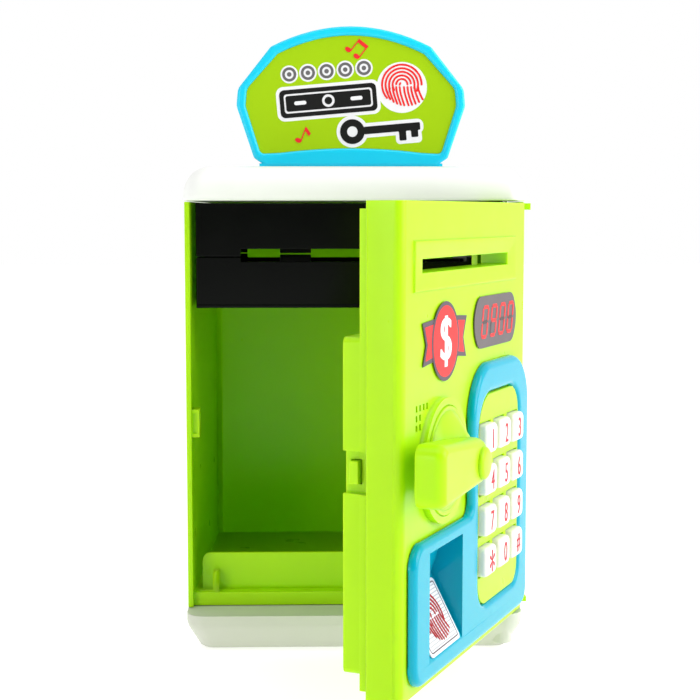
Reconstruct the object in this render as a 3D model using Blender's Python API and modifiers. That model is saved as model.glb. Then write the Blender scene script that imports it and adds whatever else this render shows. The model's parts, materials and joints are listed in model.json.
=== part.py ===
"""Toy cash-machine savings bank: a box with a hinged keypad door, a latch, a note feeder and a sign.

Dimensions are in millimetres in the bank's own frame: the origin is the centre of the base's
underside, +X is to the right of somebody facing the door, +Y goes to the back and +Z is up.
Door pieces are drawn closed, in door coordinates (u, v, h): u runs from the hinge edge towards the
free edge, v from the door's face inwards, h from the shelf upwards. The door's empty opens them.
"""
import math

import bmesh
import bpy
from mathutils import Matrix, Vector

MM = 0.001
GAP = 0.3                      # clearance between neighbouring pieces
WALL = 2.0                     # moulded wall

# Whole bank
WIDTH = 125.0
DEPTH = 123.0
SHELF_Z = 13.5                 # top of the base, on which the case and the door stand
ROOF_Z = 165.9                 # underside of the roof
CORNER = 7.0                   # plan radius of the base's and the roof's corners
FRONT_Y = -DEPTH / 2
BACK_Y = DEPTH / 2
HALF_W = WIDTH / 2

# Case
CASE_FRONT_Y = FRONT_Y + 12.2
CASE_BACK_Y = BACK_Y - 0.5
CASE_TAPER = 2.5               # each side wall comes in by this from front to back
FLOOR_Z = 18.7                 # money compartment's floor
RISER_Y = CASE_FRONT_Y + 2.6   # front face of the floor's riser

# Door
DOOR_EDGE_X = 62.0             # hinge edge when closed, where u = 0
DOOR_W = 124.0
DOOR_T = 11.9
DOOR_LOW = 0.7                 # h of the door's bottom edge
DOOR_HIGH = 151.7
DOOR_SKIN = 1.8
DOOR_EDGE_R = 3.0
PIVOT_U = 7.2
PIVOT_V = 5.95
DOOR_REST = 65.0               # degrees that the door stands open at rest
PIN_R = 1.5

# Door furniture, in door coordinates
PAD = (16.1, 60.0, 14.7, 86.9)             # raised keypad field: u, u, h, h
PAD_RADII = (6.7, 8.7, 12.7, 9.7)          # its corners, in the order of keypad_corners
PAD_RISE = 2.4
BEZEL_RISE = 3.0
KEY_SIZE = (11.5, 10.1)
KEY_PITCH = (15.1, 14.0)
KEY_CENTRE = (38.2, 51.2)                  # middle of the 3 by 4 field
KEY_RISE = 5.4
KEY_ROUND = 1.2
HANDLE = (90.8, 70.3)                      # u, h of the handle's axis
COLLAR_R = 20.0
COLLAR_RISE = 2.2
DIAL_R = 17.4
DIAL_V = (-2.7, -1.2)
CONE = (8.6, -8.4)                         # radius and v of the dial cone's top
LEVER_V = (-14.3, -4.8)
WINDOW = (77.3, 107.9, 9.6, 44.2)          # mouth of the fingerprint recess: u, u, h, h
RECESS_DEEPEST = (7.95, 30.5)              # v, h of the crease where the two slopes meet
RECESS_TOP_V = 3.4
SLOT = (21.6, 106.8, 129.9, 134.1)         # note slot: u, u, h, h
SLOT_FRAME = (13.8, 115.2, 124.3, 139.8)   # raised frame around the slot: u, u, h, h
FRAME_RISE = 0.7
LABEL_RISE = 0.7
FRAME_LAND = 1.4
SLOT_SINK = 0.3
CHUTE_V = 10.3
EMBLEM = (88.1, 107.8, 12.5)               # u, h, radius
BOLT_H = 70.0                              # height of the latch bolt's middle
NOTCH = (118.9, 63.5, 76.6)                # latch notch in the inner cover: u from here out, h, h
BOX = (16.0, 121.3, 7.5, 111.0)            # raised box on the inner cover: u, u, h, h
BOX_BACK_V = 20.2
COVER_V = (12.2, 14.4)
SCREW_PLACES = ((15.5, 145.0), (115.5, 145.0), (15.5, 5.3), (115.5, 5.3))

# Note feeder
FEEDER_HALF_W = 58.7
FEEDER_Y = (CASE_FRONT_Y + 4.3, 11.5)
FEEDER_Z = (126.3, 145.1, 145.4, 165.2)
FEEDER_WALL = 1.5
NOTE_Z = (143.5, 148.2)
NOTE_HALF_W = 42.0
DRIVE_AXIS = (-24.0, 138.6)                # y, z
REDUCTION_OFFSET = (13.0, 6.19)
PINCH_AXIS = (-24.0, 151.1)
DRIVE_ROLLER_R = 7.0
PINCH_ROLLER_R = 5.0
SHAFT_R = 1.5
GEAR_MODULE = 0.8
GEAR_BACKLASH = 0.3
PRESSURE_ANGLE = math.radians(25)

# Batteries
CELL_R = 7.1
CELL_LENGTH = 50.0
CELL_Z = 9.2
CELL_ROWS = (15.5, 30.5, 45.5)

# Sign
SIGN_Y = (-3.0, 3.0)
SIGN_RECESS = 1.3


def clear_scene():
    """Removes whatever the scene held."""
    for item in list(bpy.data.objects):
        bpy.data.objects.remove(item, do_unlink=True)


def new_collection(name):
    """A collection linked to the scene."""
    group = bpy.data.collections.new(name)
    bpy.context.scene.collection.children.link(group)
    return group


def new_material(name, colour, roughness, metallic=0.0):
    """A Principled BSDF material."""
    made = bpy.data.materials.new(name)
    made.use_nodes = True
    shader = made.node_tree.nodes["Principled BSDF"]
    shader.inputs["Base Color"].default_value = (*colour, 1.0)
    shader.inputs["Roughness"].default_value = roughness
    shader.inputs["Metallic"].default_value = metallic
    return made


clear_scene()
PARTS = new_collection("toy_atm_savings_bank")
TOOLS = new_collection("cutters")

GREEN = new_material("lime_plastic", (0.42, 0.77, 0.03), 0.32)
BLUE = new_material("cyan_plastic", (0.03, 0.62, 0.88), 0.30)
WHITE = new_material("white_plastic", (0.86, 0.87, 0.84), 0.35)
BLACK = new_material("black_plastic", (0.012, 0.013, 0.012), 0.35)
KEY_WHITE = new_material("key_plastic", (0.90, 0.89, 0.86), 0.38)
SIGN_PRINT = new_material("sign_print", (0.38, 0.62, 0.02), 0.45)
LABEL_PRINT = new_material("label_print", (0.88, 0.88, 0.86), 0.5)
DISPLAY_PRINT = new_material("display_print", (0.17, 0.16, 0.17), 0.45)
EMBLEM_PRINT = new_material("emblem_print", (0.85, 0.12, 0.14), 0.5)
RUBBER = new_material("rubber", (0.10, 0.10, 0.10), 0.8)
STEEL = new_material("steel", (0.62, 0.62, 0.63), 0.3, 1.0)
SPRING_STEEL = new_material("nickel_contact", (0.75, 0.72, 0.66), 0.28, 1.0)
CELL_JACKET = new_material("cell_jacket", (0.12, 0.13, 0.15), 0.35)
BOARD_GREEN = new_material("circuit_board", (0.02, 0.22, 0.08), 0.5)
COPPER = new_material("coil_tape", (0.75, 0.42, 0.10), 0.4)
GEAR_WHITE = new_material("gear_plastic", (0.82, 0.82, 0.78), 0.4)


def door_x(u):
    """X of a point of the closed door."""
    return DOOR_EDGE_X - u


def door_y(v):
    """Y of a point of the closed door."""
    return FRONT_Y + v


def door_z(h):
    """Z of a point of the door."""
    return SHELF_Z + h


def keypad_corners(extra):
    """The keypad field's corners as (u, h, radius), grown outward by a distance."""
    u0, u1, low, high = widened(PAD[:2], extra) + widened(PAD[2:], extra)
    places = ((u0, low), (u1, low), (u1, high), (u0, high))
    return [(u, h, radius + extra) for (u, h), radius in zip(places, PAD_RADII)]


def door_outline(points):
    """Turns (u, h) points into (x, z) points."""
    return [(door_x(u), door_z(h)) for u, h in points]


def new_empty(name, place, turn=0.0, parent=None):
    """An empty on a joint's axis; its children are drawn as if its turn were zero."""
    empty = bpy.data.objects.new(name, None)
    PARTS.objects.link(empty)
    empty.location = Vector(place) * MM
    if parent:
        attach(empty, parent)
    empty.rotation_euler.z = math.radians(turn)
    empty["drawn_at"] = empty.location.copy()
    return empty


def attach(item, parent):
    """Parents a piece that is drawn in the closed bank's frame."""
    item.parent = parent
    item.matrix_parent_inverse = Matrix.Translation(-Vector(parent["drawn_at"]))


def mesh_piece(name, bm, material=None, parent=None, origin=(0, 0, 0)):
    """Turns a bmesh drawn in millimetres into an object: a part, or a tool if it has no material."""
    bmesh.ops.translate(bm, vec=-Vector(origin), verts=bm.verts)
    bmesh.ops.scale(bm, vec=(MM, MM, MM), verts=bm.verts)
    bmesh.ops.recalc_face_normals(bm, faces=bm.faces)
    mesh = bpy.data.meshes.new(name)
    bm.to_mesh(mesh)
    bm.free()
    item = bpy.data.objects.new(name, mesh)
    item.location = Vector(origin) * MM
    if material:
        mesh.materials.append(material)
        mesh.shade_smooth()
        mesh.set_sharp_from_angle(angle=math.radians(35))
        PARTS.objects.link(item)
    else:
        item.hide_render = True
        item.display_type = "WIRE"
        TOOLS.objects.link(item)
    if parent:
        attach(item, parent)
    return item


def add_box(bm, low, high):
    """Adds a box between two corners."""
    verts = bmesh.ops.create_cube(bm, size=1.0)["verts"]
    bmesh.ops.scale(bm, vec=[b - a for a, b in zip(low, high)], verts=verts)
    bmesh.ops.translate(bm, vec=[(a + b) / 2 for a, b in zip(low, high)], verts=verts)
    return verts


def door_corners(us, vs, hs):
    """Low and high corners of a box given in door coordinates."""
    low = (door_x(us[1]), door_y(vs[0]), door_z(hs[0]))
    high = (door_x(us[0]), door_y(vs[1]), door_z(hs[1]))
    return low, high


def widened(span, extra):
    """A (low, high) span grown at both ends."""
    return (span[0] - extra, span[1] + extra)


def door_rectangle(box, extra=0.0):
    """The outline of a (u, u, h, h) box on the door, grown all round."""
    (u0, u1), (h0, h1) = widened(box[:2], extra), widened(box[2:], extra)
    return door_outline([(u0, h0), (u1, h0), (u1, h1), (u0, h1)])


def boxes(name, corners, material=None, parent=None, origin=(0, 0, 0)):
    """One object of one or more boxes, each a pair of low and high corners."""
    bm = bmesh.new()
    for low, high in corners:
        add_box(bm, low, high)
    return mesh_piece(name, bm, material, parent, origin)


AXIS_TURN = {
    "X": Matrix.Rotation(math.pi / 2, 4, "Y"),
    "Y": Matrix.Rotation(-math.pi / 2, 4, "X"),
    "Z": Matrix.Identity(4),
}


def axis_point(axis, across, along):
    """A point from its two coordinates across an axis and its coordinate along it."""
    a, b = across
    return {"X": (along, a, b), "Y": (a, along, b), "Z": (a, b, along)}[axis]


def rods(name, places, axis, radius, low, high, material=None, parent=None, origin=(0, 0, 0), sides=24):
    """One object of cylinders of one radius along an axis, at the places across it."""
    bm = bmesh.new()
    for across in places:
        middle = Vector(axis_point(axis, across, (low + high) / 2))
        bmesh.ops.create_cone(bm, cap_ends=True, segments=sides, radius1=radius, radius2=radius,
                              depth=high - low, matrix=Matrix.Translation(middle) @ AXIS_TURN[axis])
    return mesh_piece(name, bm, material, parent, origin)


PLANE_TURN = {
    "X": Matrix.Rotation(math.pi / 2, 4, "Z") @ Matrix.Rotation(math.pi / 2, 4, "X"),
    "Y": Matrix.Rotation(math.pi / 2, 4, "X"),
    "Z": Matrix.Identity(4),
}


def prism(name, outlines, axis, low, high, material=None, parent=None, origin=(0, 0, 0)):
    """A flat outline, with any holes as further outlines, made thick along an axis.

    The outline's points are (y, z) for axis X, (x, z) for axis Y and (x, y) for axis Z.
    """
    curve = bpy.data.curves.new(name, "CURVE")
    curve.dimensions = "2D"
    curve.fill_mode = "BOTH"
    curve.extrude = (high - low) / 2
    for outline in outlines:
        spline = curve.splines.new("POLY")
        spline.points.add(len(outline) - 1)
        for point, (a, b) in zip(spline.points, outline):
            point.co = (a, b, 0, 1)
        spline.use_cyclic_u = True
    guide = bpy.data.objects.new(name + "_outline", curve)
    TOOLS.objects.link(guide)
    shape = bpy.data.meshes.new_from_object(guide.evaluated_get(bpy.context.evaluated_depsgraph_get()))
    bm = bmesh.new()
    bm.from_mesh(shape)
    bpy.data.objects.remove(guide)
    bpy.data.curves.remove(curve)
    bpy.data.meshes.remove(shape)
    bmesh.ops.remove_doubles(bm, verts=bm.verts, dist=0.001)
    middle = Matrix.Translation(axis_point(axis, (0, 0), (low + high) / 2))
    bmesh.ops.transform(bm, matrix=middle @ PLANE_TURN[axis], verts=bm.verts)
    return mesh_piece(name, bm, material, parent, origin)


def loft(name, sections, material=None, parent=None, axis="Z"):
    """Joins (outline, level) sections along an axis, with equal point counts, into one closed solid."""
    bm = bmesh.new()
    rings = []
    for outline, level in sections:
        verts = [bm.verts.new(axis_point(axis, point, level)) for point in outline]
        rings.append([bm.edges.new((verts[i - 1], verts[i])) for i in range(len(verts))])
    for lower, upper in zip(rings, rings[1:]):
        bmesh.ops.bridge_loops(bm, edges=lower + upper)
    bmesh.ops.holes_fill(bm, edges=rings[0] + rings[-1], sides=0)
    return mesh_piece(name, bm, material, parent)


def turned(name, profile, across, axis, material, parent=None, steps=24):
    """A profile of (radius, place along the axis) turned about an axis with a Screw modifier."""
    bm = bmesh.new()
    verts = [bm.verts.new((radius * MM, 0, (along - profile[0][1]) * MM)) for radius, along in profile]
    for a, b in zip(verts, verts[1:]):
        bm.edges.new((a, b))
    mesh = bpy.data.meshes.new(name)
    bm.to_mesh(mesh)
    bm.free()
    mesh.materials.append(material)
    item = bpy.data.objects.new(name, mesh)
    PARTS.objects.link(item)
    item.location = Vector(axis_point(axis, across, profile[0][1])) * MM
    item.rotation_euler = AXIS_TURN[axis].to_euler()
    turn = item.modifiers.new("turn", "SCREW")
    turn.steps = steps
    turn.render_steps = steps
    turn.use_merge_vertices = True
    turn.merge_threshold = 0.00001
    turn.use_smooth_shade = True
    if parent:
        attach(item, parent)
    return item


def combine(target, tool, operation):
    """Joins a tool to a piece ("UNION") or cuts it away ("DIFFERENCE")."""
    modifier = target.modifiers.new(tool.name, "BOOLEAN")
    modifier.operation = operation
    modifier.object = tool


def join(target, *tools):
    """Joins tools to a piece."""
    for tool in tools:
        combine(target, tool, "UNION")


def cut(target, *tools):
    """Cuts tools away from a piece."""
    for tool in tools:
        combine(target, tool, "DIFFERENCE")


def rounded(corners, steps=4):
    """A closed outline from (x, y, radius) corners, with the round stretches as arcs."""
    points = []
    for i, (x, y, radius) in enumerate(corners):
        here = Vector((x, y))
        if not radius:
            points.append((x, y))
            continue
        back = (Vector(corners[i - 1][:2]) - here).normalized()
        ahead = (Vector(corners[(i + 1) % len(corners)][:2]) - here).normalized()
        half = back.angle(ahead) / 2
        centre = here + (back + ahead).normalized() * (radius / math.sin(half))
        start = here + back * (radius / math.tan(half)) - centre
        sweep = start.angle_signed(here + ahead * (radius / math.tan(half)) - centre)
        for step in range(steps + 1):
            spoke = start.copy()
            spoke.rotate(Matrix.Rotation(-sweep * step / steps, 2))
            points.append(tuple(centre + spoke))
    return points


def rounded_box(x0, x1, y0, y1, radius, steps=4):
    """A rounded rectangle's outline."""
    return rounded([(x0, y0, radius), (x1, y0, radius), (x1, y1, radius), (x0, y1, radius)], steps)


def arc(centre, radius, first, last, steps):
    """Points along an arc, with the angles in degrees."""
    x, y = centre
    angles = [math.radians(first + (last - first) * i / steps) for i in range(steps + 1)]
    return [(x + radius * math.cos(a), y + radius * math.sin(a)) for a in angles]


def plan(inset, radius=CORNER):
    """The bank's footprint, drawn in by an inset."""
    round_by = max(radius - inset / 2, 1.5)
    return rounded_box(-HALF_W + inset, HALF_W - inset, FRONT_Y + inset, BACK_Y - inset, round_by, 4)


def case_half_width(y, wall=0.0):
    """Half the case's width at a depth, less a wall."""
    return HALF_W - wall - CASE_TAPER * (y - CASE_FRONT_Y) / (CASE_BACK_Y - CASE_FRONT_Y)


def case_plan(wall, front):
    """The case's outline from above, drawn in by a wall and starting at a front edge."""
    back = CASE_BACK_Y - wall
    near, far = case_half_width(front, wall), case_half_width(back, wall)
    return rounded([(-near, front, 0), (near, front, 0), (far, back, 5 - wall), (-far, back, 5 - wall)], 4)


PIVOT = (door_x(PIVOT_U), door_y(PIVOT_V))
COVER_SCREW = (0, 6.2)
BASE_SCREWS = ((-48, -36), (48, -36), (-48, 44), (48, 44))


def make_base():
    """The white base tray with its battery well, and the battery cover."""
    profile = ((0, 6.0), (0.8, 4.9), (8.6, 0.5), (10.5, 0), (SHELF_Z, 0))
    tray = loft("base_tray", [(plan(inset), z) for z, inset in profile], WHITE)
    floor = 3.4
    pocket = boxes("base_pocket", [((-55, CASE_FRONT_Y + 4, floor), (55, 54, SHELF_Z + 1))])
    under_shelf = boxes("shelf_pocket", [((-55, FRONT_Y + 6, floor), (55, CASE_FRONT_Y + 5, SHELF_Z - WALL))])
    cut(tray, pocket, under_shelf)
    well = boxes("battery_well", [((-29.3, 6.6, 2.5), (29.3, 54.4, 16.4))])
    posts = rods("tray_posts", BASE_SCREWS, "Z", 4.5, 2, SHELF_Z - 0.2)
    pin_boss = rods("pin_boss", [PIVOT], "Z", 4.0, 2, SHELF_Z - 1)
    join(tray, well, posts, pin_boss)
    cut(tray,
        boxes("well_hollow", [((-28.1, 7.8, 1.0), (28.1, 53.2, 17))]),
        boxes("cover_seat", [((-30.8, 2.9, -1), (30.8, 54.9, 1.9))]),
        rods("screw_holes_tray", BASE_SCREWS, "Z", 1.6, 1, 15),
        rods("screw_heads_tray", BASE_SCREWS, "Z", 3.0, -1, 3.6),
        rods("pin_hole_tray", [PIVOT], "Z", PIN_R + GAP, 3.2, 15))
    cover = boxes("battery_cover", [((-30.5, 3.2, 0.1), (30.5, 54.6, 1.6))], WHITE)
    cut(cover, rods("cover_screw_hole", [COVER_SCREW], "Z", 1.5, -1, 3))
    screw = ((0, 5), (1.1, 5), (1.1, 0.8), (2.3, 0.8), (2.3, 0.2), (0, 0.2))
    turned("battery_cover_screw", screw, COVER_SCREW, "Z", STEEL, steps=16)
    join(tray, rods("cover_screw_post", [COVER_SCREW], "Z", 2.6, 2.5, 6.0))
    cut(tray, rods("cover_screw_pilot", [COVER_SCREW], "Z", 1.4, 0, 5.5))
    cut(cover, rods("cover_screw_seat", [COVER_SCREW], "Z", 2.6, -1, 1.1))


def make_roof():
    """The white roof: its edge rolls over in an ellipse and its top is slightly crowned."""
    def sections(shrink):
        made = [(plan(shrink), ROOF_Z - (2 if shrink else 0)), (plan(shrink), 167.0 - shrink / 2)]
        for step in range(1, 6):
            angle = math.radians(90 * step / 5)
            made.append((plan(shrink + 9 * (1 - math.cos(angle))), 167.0 + 11.2 * math.sin(angle) - shrink))
        made.append((plan(shrink + 24), 178.9 - shrink))
        made.append((plan(shrink + 44), 179.5 - shrink))
        return made

    roof = loft("roof_cover", sections(0), WHITE)
    cut(roof, loft("roof_hollow", sections(2.2)))
    join(roof, rods("roof_pin_boss", [PIVOT], "Z", 4.0, ROOF_Z, 175.5),
         boxes("sign_socket", [((-31, -5, 173), (31, 5, 178))]))
    cut(roof, rods("pin_hole_roof", [PIVOT], "Z", PIN_R + GAP, ROOF_Z - 1, 173),
        boxes("sign_slot", [((-28.3, SIGN_Y[0] + 0.7, 174.8), (28.3, SIGN_Y[1] - 0.7, 181))]),
        boxes("coin_slot", [((-16, 27.6, 170), (16, 32.4, 182))]))


def make_case():
    """The green case: side walls, back, floor, retaining wall, latch keeper and stop lugs."""
    top = ROOF_Z - GAP
    case = prism("case_shell", [case_plan(0, CASE_FRONT_Y)], "Z", SHELF_Z + GAP, top, GREEN)
    inside = prism("case_inside", [case_plan(WALL, CASE_FRONT_Y - 5)], "Z", FLOOR_Z, top + 5)
    under = prism("case_under", [case_plan(WALL, RISER_Y + WALL)], "Z", SHELF_Z - 5, FLOOR_Z - WALL)
    step = boxes("case_step", [((-case_half_width(CASE_FRONT_Y, WALL), CASE_FRONT_Y - 5, SHELF_Z - 5),
                                (case_half_width(CASE_FRONT_Y, WALL), RISER_Y, FLOOR_Z + 1))])
    cut(case, inside, under, step)
    lip = rounded([(-57.6, FLOOR_Z - 0.5, 0), (57.6, FLOOR_Z - 0.5, 0), (57.6, 32.6, 3), (-57.6, 32.6, 3)], 3)
    lug_levels = ((15.2, 17.0), (162.7, 165.1))
    lugs = [((61.6, CASE_FRONT_Y, z0), (65.1, CASE_FRONT_Y + 3.1, z1)) for z0, z1 in lug_levels]
    join(case,
         prism("retaining_wall", [lip], "Y", CASE_FRONT_Y + 8.5, CASE_FRONT_Y + 10.1),
         boxes("lip_posts", [((x - 1.1, RISER_Y + 0.3, FLOOR_Z - 0.5), (x + 1.1, CASE_FRONT_Y + 9, 26.4))
                             for x in (-52.2, 51.6)]),
         boxes("keeper", [((-61.3, CASE_FRONT_Y + 0.8, 78.2), (-57.7, CASE_FRONT_Y + 8.2, 88.6))]),
         boxes("stop_lugs", lugs),
         rods("case_posts", BASE_SCREWS, "Z", 3.4, SHELF_Z + GAP, FLOOR_Z - WALL + 0.5))
    cut(case,
        boxes("keeper_window", [((-59.9, CASE_FRONT_Y + 2.8, 79.6), (-57, CASE_FRONT_Y + 6.4, 87.2))]),
        boxes("keeper_face", [((-60.2, CASE_FRONT_Y, 79.6), (-58.6, CASE_FRONT_Y + 1.7, 87.2))]),
        rods("screw_holes_case", BASE_SCREWS, "Z", 1.6, 10, FLOOR_Z - WALL + 0.2))


def make_screws():
    """Screws from below that hold the base, and those that hold the door's inner cover."""
    base_screw = ((0, 15.6), (1.2, 15.6), (1.2, 3.3), (2.5, 3.3), (2.5, 1.6), (0, 1.6))
    for index, place in enumerate(BASE_SCREWS, 1):
        turned(f"base_screw_{index}", base_screw, place, "Z", STEEL, steps=16)
    head, under_head, tip = door_y(14.2), door_y(13.1), door_y(5.5)
    door_screw = ((0, head), (1.9, head), (1.9, under_head), (1.0, under_head), (1.0, tip), (0, tip))
    for index, (u, h) in enumerate(SCREW_PLACES, 1):
        turned(f"door_screw_{index}", door_screw, (door_x(u), door_z(h)), "Y", STEEL, DOOR, steps=16)


def make_batteries():
    """Three cells side by side and their contact plates."""
    for index, row in enumerate(CELL_ROWS, 1):
        end = CELL_LENGTH / 2
        profile = ((0, end), (2.7, end), (2.7, end - 1.3), (CELL_R, end - 1.3), (CELL_R, -end), (0, -end))
        turned(f"battery_cell_{index}", profile,
               (row, CELL_Z), "X", CELL_JACKET, steps=20)
    for side, label in ((-1, "left"), (1, "right")):
        inner, outer = sorted((side * 26.2, side * 27.6))
        middle = side * 26.9
        plate = boxes(f"battery_contacts_{label}", [((middle - 0.35, 9, 4.5), (middle + 0.35, 52, 14.5))],
                      SPRING_STEEL)
        dimples = [(row, CELL_Z) for row in CELL_ROWS]
        near, far = sorted((side * 25.6, side * 27.0))
        join(plate, rods(f"contact_dimples_{label}", dimples, "X", 2.0, near, far, sides=12))


def make_sign():
    """The cyan sign frame with its printed panel."""
    def shape(inset, lift):
        crown = []
        for step in range(9):
            x = 31.8 - inset - (31.8 - inset) * 2 * step / 8
            crown.append((x, 235.1 - inset - (8.0 - inset * 0.3) * (x / (31.8 - inset)) ** 2))
        left = [(-44.9 + inset, 210.3), (-45.7 + inset, 204.5), (-38.7 + inset * 0.8, 182.8 + lift)]
        right = [(-x, z) for x, z in reversed(left)]
        return crown + left, right

    upper, right = shape(0, 0)
    outer = upper + [(-33.9, 179.9), (33.9, 179.9)] + right
    upper, right = shape(3.4, 1.2)
    floor_arch = [(x, 186.9 - 2.9 * (x / 35.6) ** 2) for x in (-24, -12, 0, 12, 24)]
    inner = upper + floor_arch + right
    upper, right = shape(3.7, 1.5)
    panel = upper + [(x, z + 0.3) for x, z in floor_arch] + right
    frame = prism("sign_frame", [outer], "Y", *SIGN_Y, BLUE)
    cut(frame, prism("sign_recess", [inner], "Y", SIGN_Y[0] - 1, SIGN_Y[0] + SIGN_RECESS))
    join(frame, boxes("sign_tab", [((-28, SIGN_Y[0] + 1, 175.1), (28, SIGN_Y[1] - 1, 181))]))
    prism("sign_panel", [panel], "Y", SIGN_Y[0] + 0.4, SIGN_Y[0] + SIGN_RECESS - GAP, SIGN_PRINT)


def make_feeder():
    """The two black housings under the roof, with the slit where notes come through."""
    low, split_low, split_high, high = FEEDER_Z
    front, back = FEEDER_Y
    wall = FEEDER_WALL
    half = FEEDER_HALF_W
    lower = boxes("feeder_lower_housing", [((-half, front, low), (half, back, split_low))], BLACK)
    upper = boxes("feeder_upper_housing", [((-half, front, split_high), (half, back, high))], BLACK)
    join(lower, boxes("feeder_lip", [((-half, front - 0.6, low), (half, front + 1, low + 1.1))]))
    hollow = ((-half + wall, front + wall), (half - wall, back - wall))
    cut(lower, boxes("lower_hollow", [((*hollow[0], low + wall), (*hollow[1], split_low + 1))]))
    cut(upper, boxes("upper_hollow", [((*hollow[0], split_high - 1), (*hollow[1], high - wall))]))
    slit = boxes("note_slit", [((-NOTE_HALF_W, front - 1, NOTE_Z[0]), (NOTE_HALF_W, back + 1, NOTE_Z[1]))])
    cut(lower, slit, rods("drive_bearings", [DRIVE_AXIS], "X", SHAFT_R + GAP, -half - 1, half + 1))
    cut(upper, slit, rods("pinch_bearings", [PINCH_AXIS], "X", SHAFT_R + GAP, -half - 1, half + 1))


def gear_outline(teeth, centre, phase, steps=3):
    """An involute gear's outline in the (y, z) plane, with the middle of one tooth at the phase."""
    pitch = GEAR_MODULE * teeth / 2
    base = pitch * math.cos(PRESSURE_ANGLE)
    tip = pitch + 0.9 * GEAR_MODULE
    root = pitch - 1.25 * GEAR_MODULE
    foot = max(base, root)

    def involute(radius):
        roll = math.acos(min(base / radius, 1.0))
        return math.tan(roll) - roll

    half = math.pi / 2 / teeth - GEAR_BACKLASH / 2 / pitch + involute(pitch)
    flank = [foot + (tip - foot) * i / steps for i in range(steps + 1)]
    tooth = [(root, -half)] + [(r, involute(r) - half) for r in flank]
    tooth += [(r, half - involute(r)) for r in reversed(flank)] + [(root, half)]
    points = []
    for index in range(teeth):
        middle = phase + 2 * math.pi * index / teeth
        turned_tooth = [(r, middle + a) for r, a in tooth]
        points += [(centre[0] + r * math.cos(a), centre[1] + r * math.sin(a)) for r, a in turned_tooth]
    return points


def make_feeder_drive():
    """Motor, gear train and rollers, in mesh at rest."""
    reduction_axis = tuple(a + b for a, b in zip(DRIVE_AXIS, REDUCTION_OFFSET))
    motor_axis = (reduction_axis[0] + 10.37, reduction_axis[1] - 8.8)
    to_reduction = math.atan2(REDUCTION_OFFSET[1], REDUCTION_OFFSET[0])
    to_motor = math.atan2(motor_axis[1] - reduction_axis[1], motor_axis[0] - reduction_axis[0])
    drive = new_empty("feed_drive_axis", axis_point("X", DRIVE_AXIS, 0))
    pinch = new_empty("feed_pinch_axis", axis_point("X", PINCH_AXIS, 0))
    reduction = new_empty("feed_reduction_axis", axis_point("X", reduction_axis, 0))
    pinion = new_empty("feed_pinion_axis", axis_point("X", motor_axis, 0))

    shaft = ((0, 58.2), (SHAFT_R, 58.2), (SHAFT_R, -58.2), (0, -58.2))
    turned("drive_shaft", shaft, DRIVE_AXIS, "X", STEEL, drive, 16)
    turned("pinch_shaft", shaft, PINCH_AXIS, "X", STEEL, pinch, 16)
    bore = SHAFT_R + GAP
    for side, label in ((-22, "left"), (22, "right")):
        for kind, radius, axis, body in (("drive", DRIVE_ROLLER_R, DRIVE_AXIS, drive),
                                         ("pinch", PINCH_ROLLER_R, PINCH_AXIS, pinch)):
            roller = rods(f"{kind}_roller_{label}", [axis], "X", radius, side - 6, side + 6, RUBBER, body,
                          axis_point("X", axis, side), sides=28)
            hole = rods(f"{kind}_roller_bore_{label}", [axis], "X", bore, side - 8, side + 8, parent=body)
            cut(roller, hole)

    hole = arc(DRIVE_AXIS, bore, 0, 360 - 22.5, 15)
    prism("drive_gear", [gear_outline(24, DRIVE_AXIS, to_reduction), hole], "X", 50, 53.5, GEAR_WHITE, drive,
          axis_point("X", DRIVE_AXIS, 50))
    small = gear_outline(12, reduction_axis, to_reduction + math.pi + math.pi / 12)
    gear = prism("reduction_gear", [small], "X", 46, 53.5, GEAR_WHITE, reduction,
                 axis_point("X", reduction_axis, 46))
    wheel = gear_outline(24, reduction_axis, to_motor)
    join(gear, prism("reduction_wheel", [wheel], "X", 45, 48, parent=reduction),
         rods("reduction_axle", [reduction_axis], "X", 1.2, 40, 56.8, parent=reduction, sides=16))
    first = gear_outline(10, motor_axis, to_motor + math.pi + math.pi / 10)
    gear = prism("motor_pinion", [first], "X", 44.6, 48.6, GEAR_WHITE, pinion,
                 axis_point("X", motor_axis, 44.6))
    y, z = motor_axis
    can = rounded_box(y - 9.8, y + 9.0, z - 7.4, z + 7.4, 4, 3)
    motor = prism("feeder_motor", [can], "X", 18, 43.2, STEEL)
    join(motor, rods("motor_bush", [motor_axis], "X", 3.0, 43, 44.2))


def make_hinge_pins():
    """Steel pins on which the door turns, held in the base and the roof."""
    for label, low, high in (("bottom", 3.8, 24.5), ("top", 154.8, 172.4)):
        tip_r = PIN_R - 0.4
        profile = ((0, high), (tip_r, high), (PIN_R, high - 0.4), (PIN_R, low + 0.4), (tip_r, low), (0, low))
        turned(f"hinge_pin_{label}", profile, PIVOT, "Z", STEEL, steps=20)


DOOR = new_empty("door_hinge", (*PIVOT, door_z(0)), DOOR_REST)


def key_places():
    """Door coordinates of the twelve keys, row by row from the top, left to right seen from the front."""
    for row in range(4):
        for column in range(3):
            u = KEY_CENTRE[0] + (1 - column) * KEY_PITCH[0]
            h = KEY_CENTRE[1] + (1.5 - row) * KEY_PITCH[1]
            yield row * 3 + column, u, h


def key_boxes(grow, vs):
    """A box around each key, larger than the key by grow on each side."""
    half_u, half_h = KEY_SIZE[0] / 2 + grow, KEY_SIZE[1] / 2 + grow
    return [door_corners((u - half_u, u + half_u), vs, (h - half_h, h + half_h)) for _, u, h in key_places()]


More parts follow.
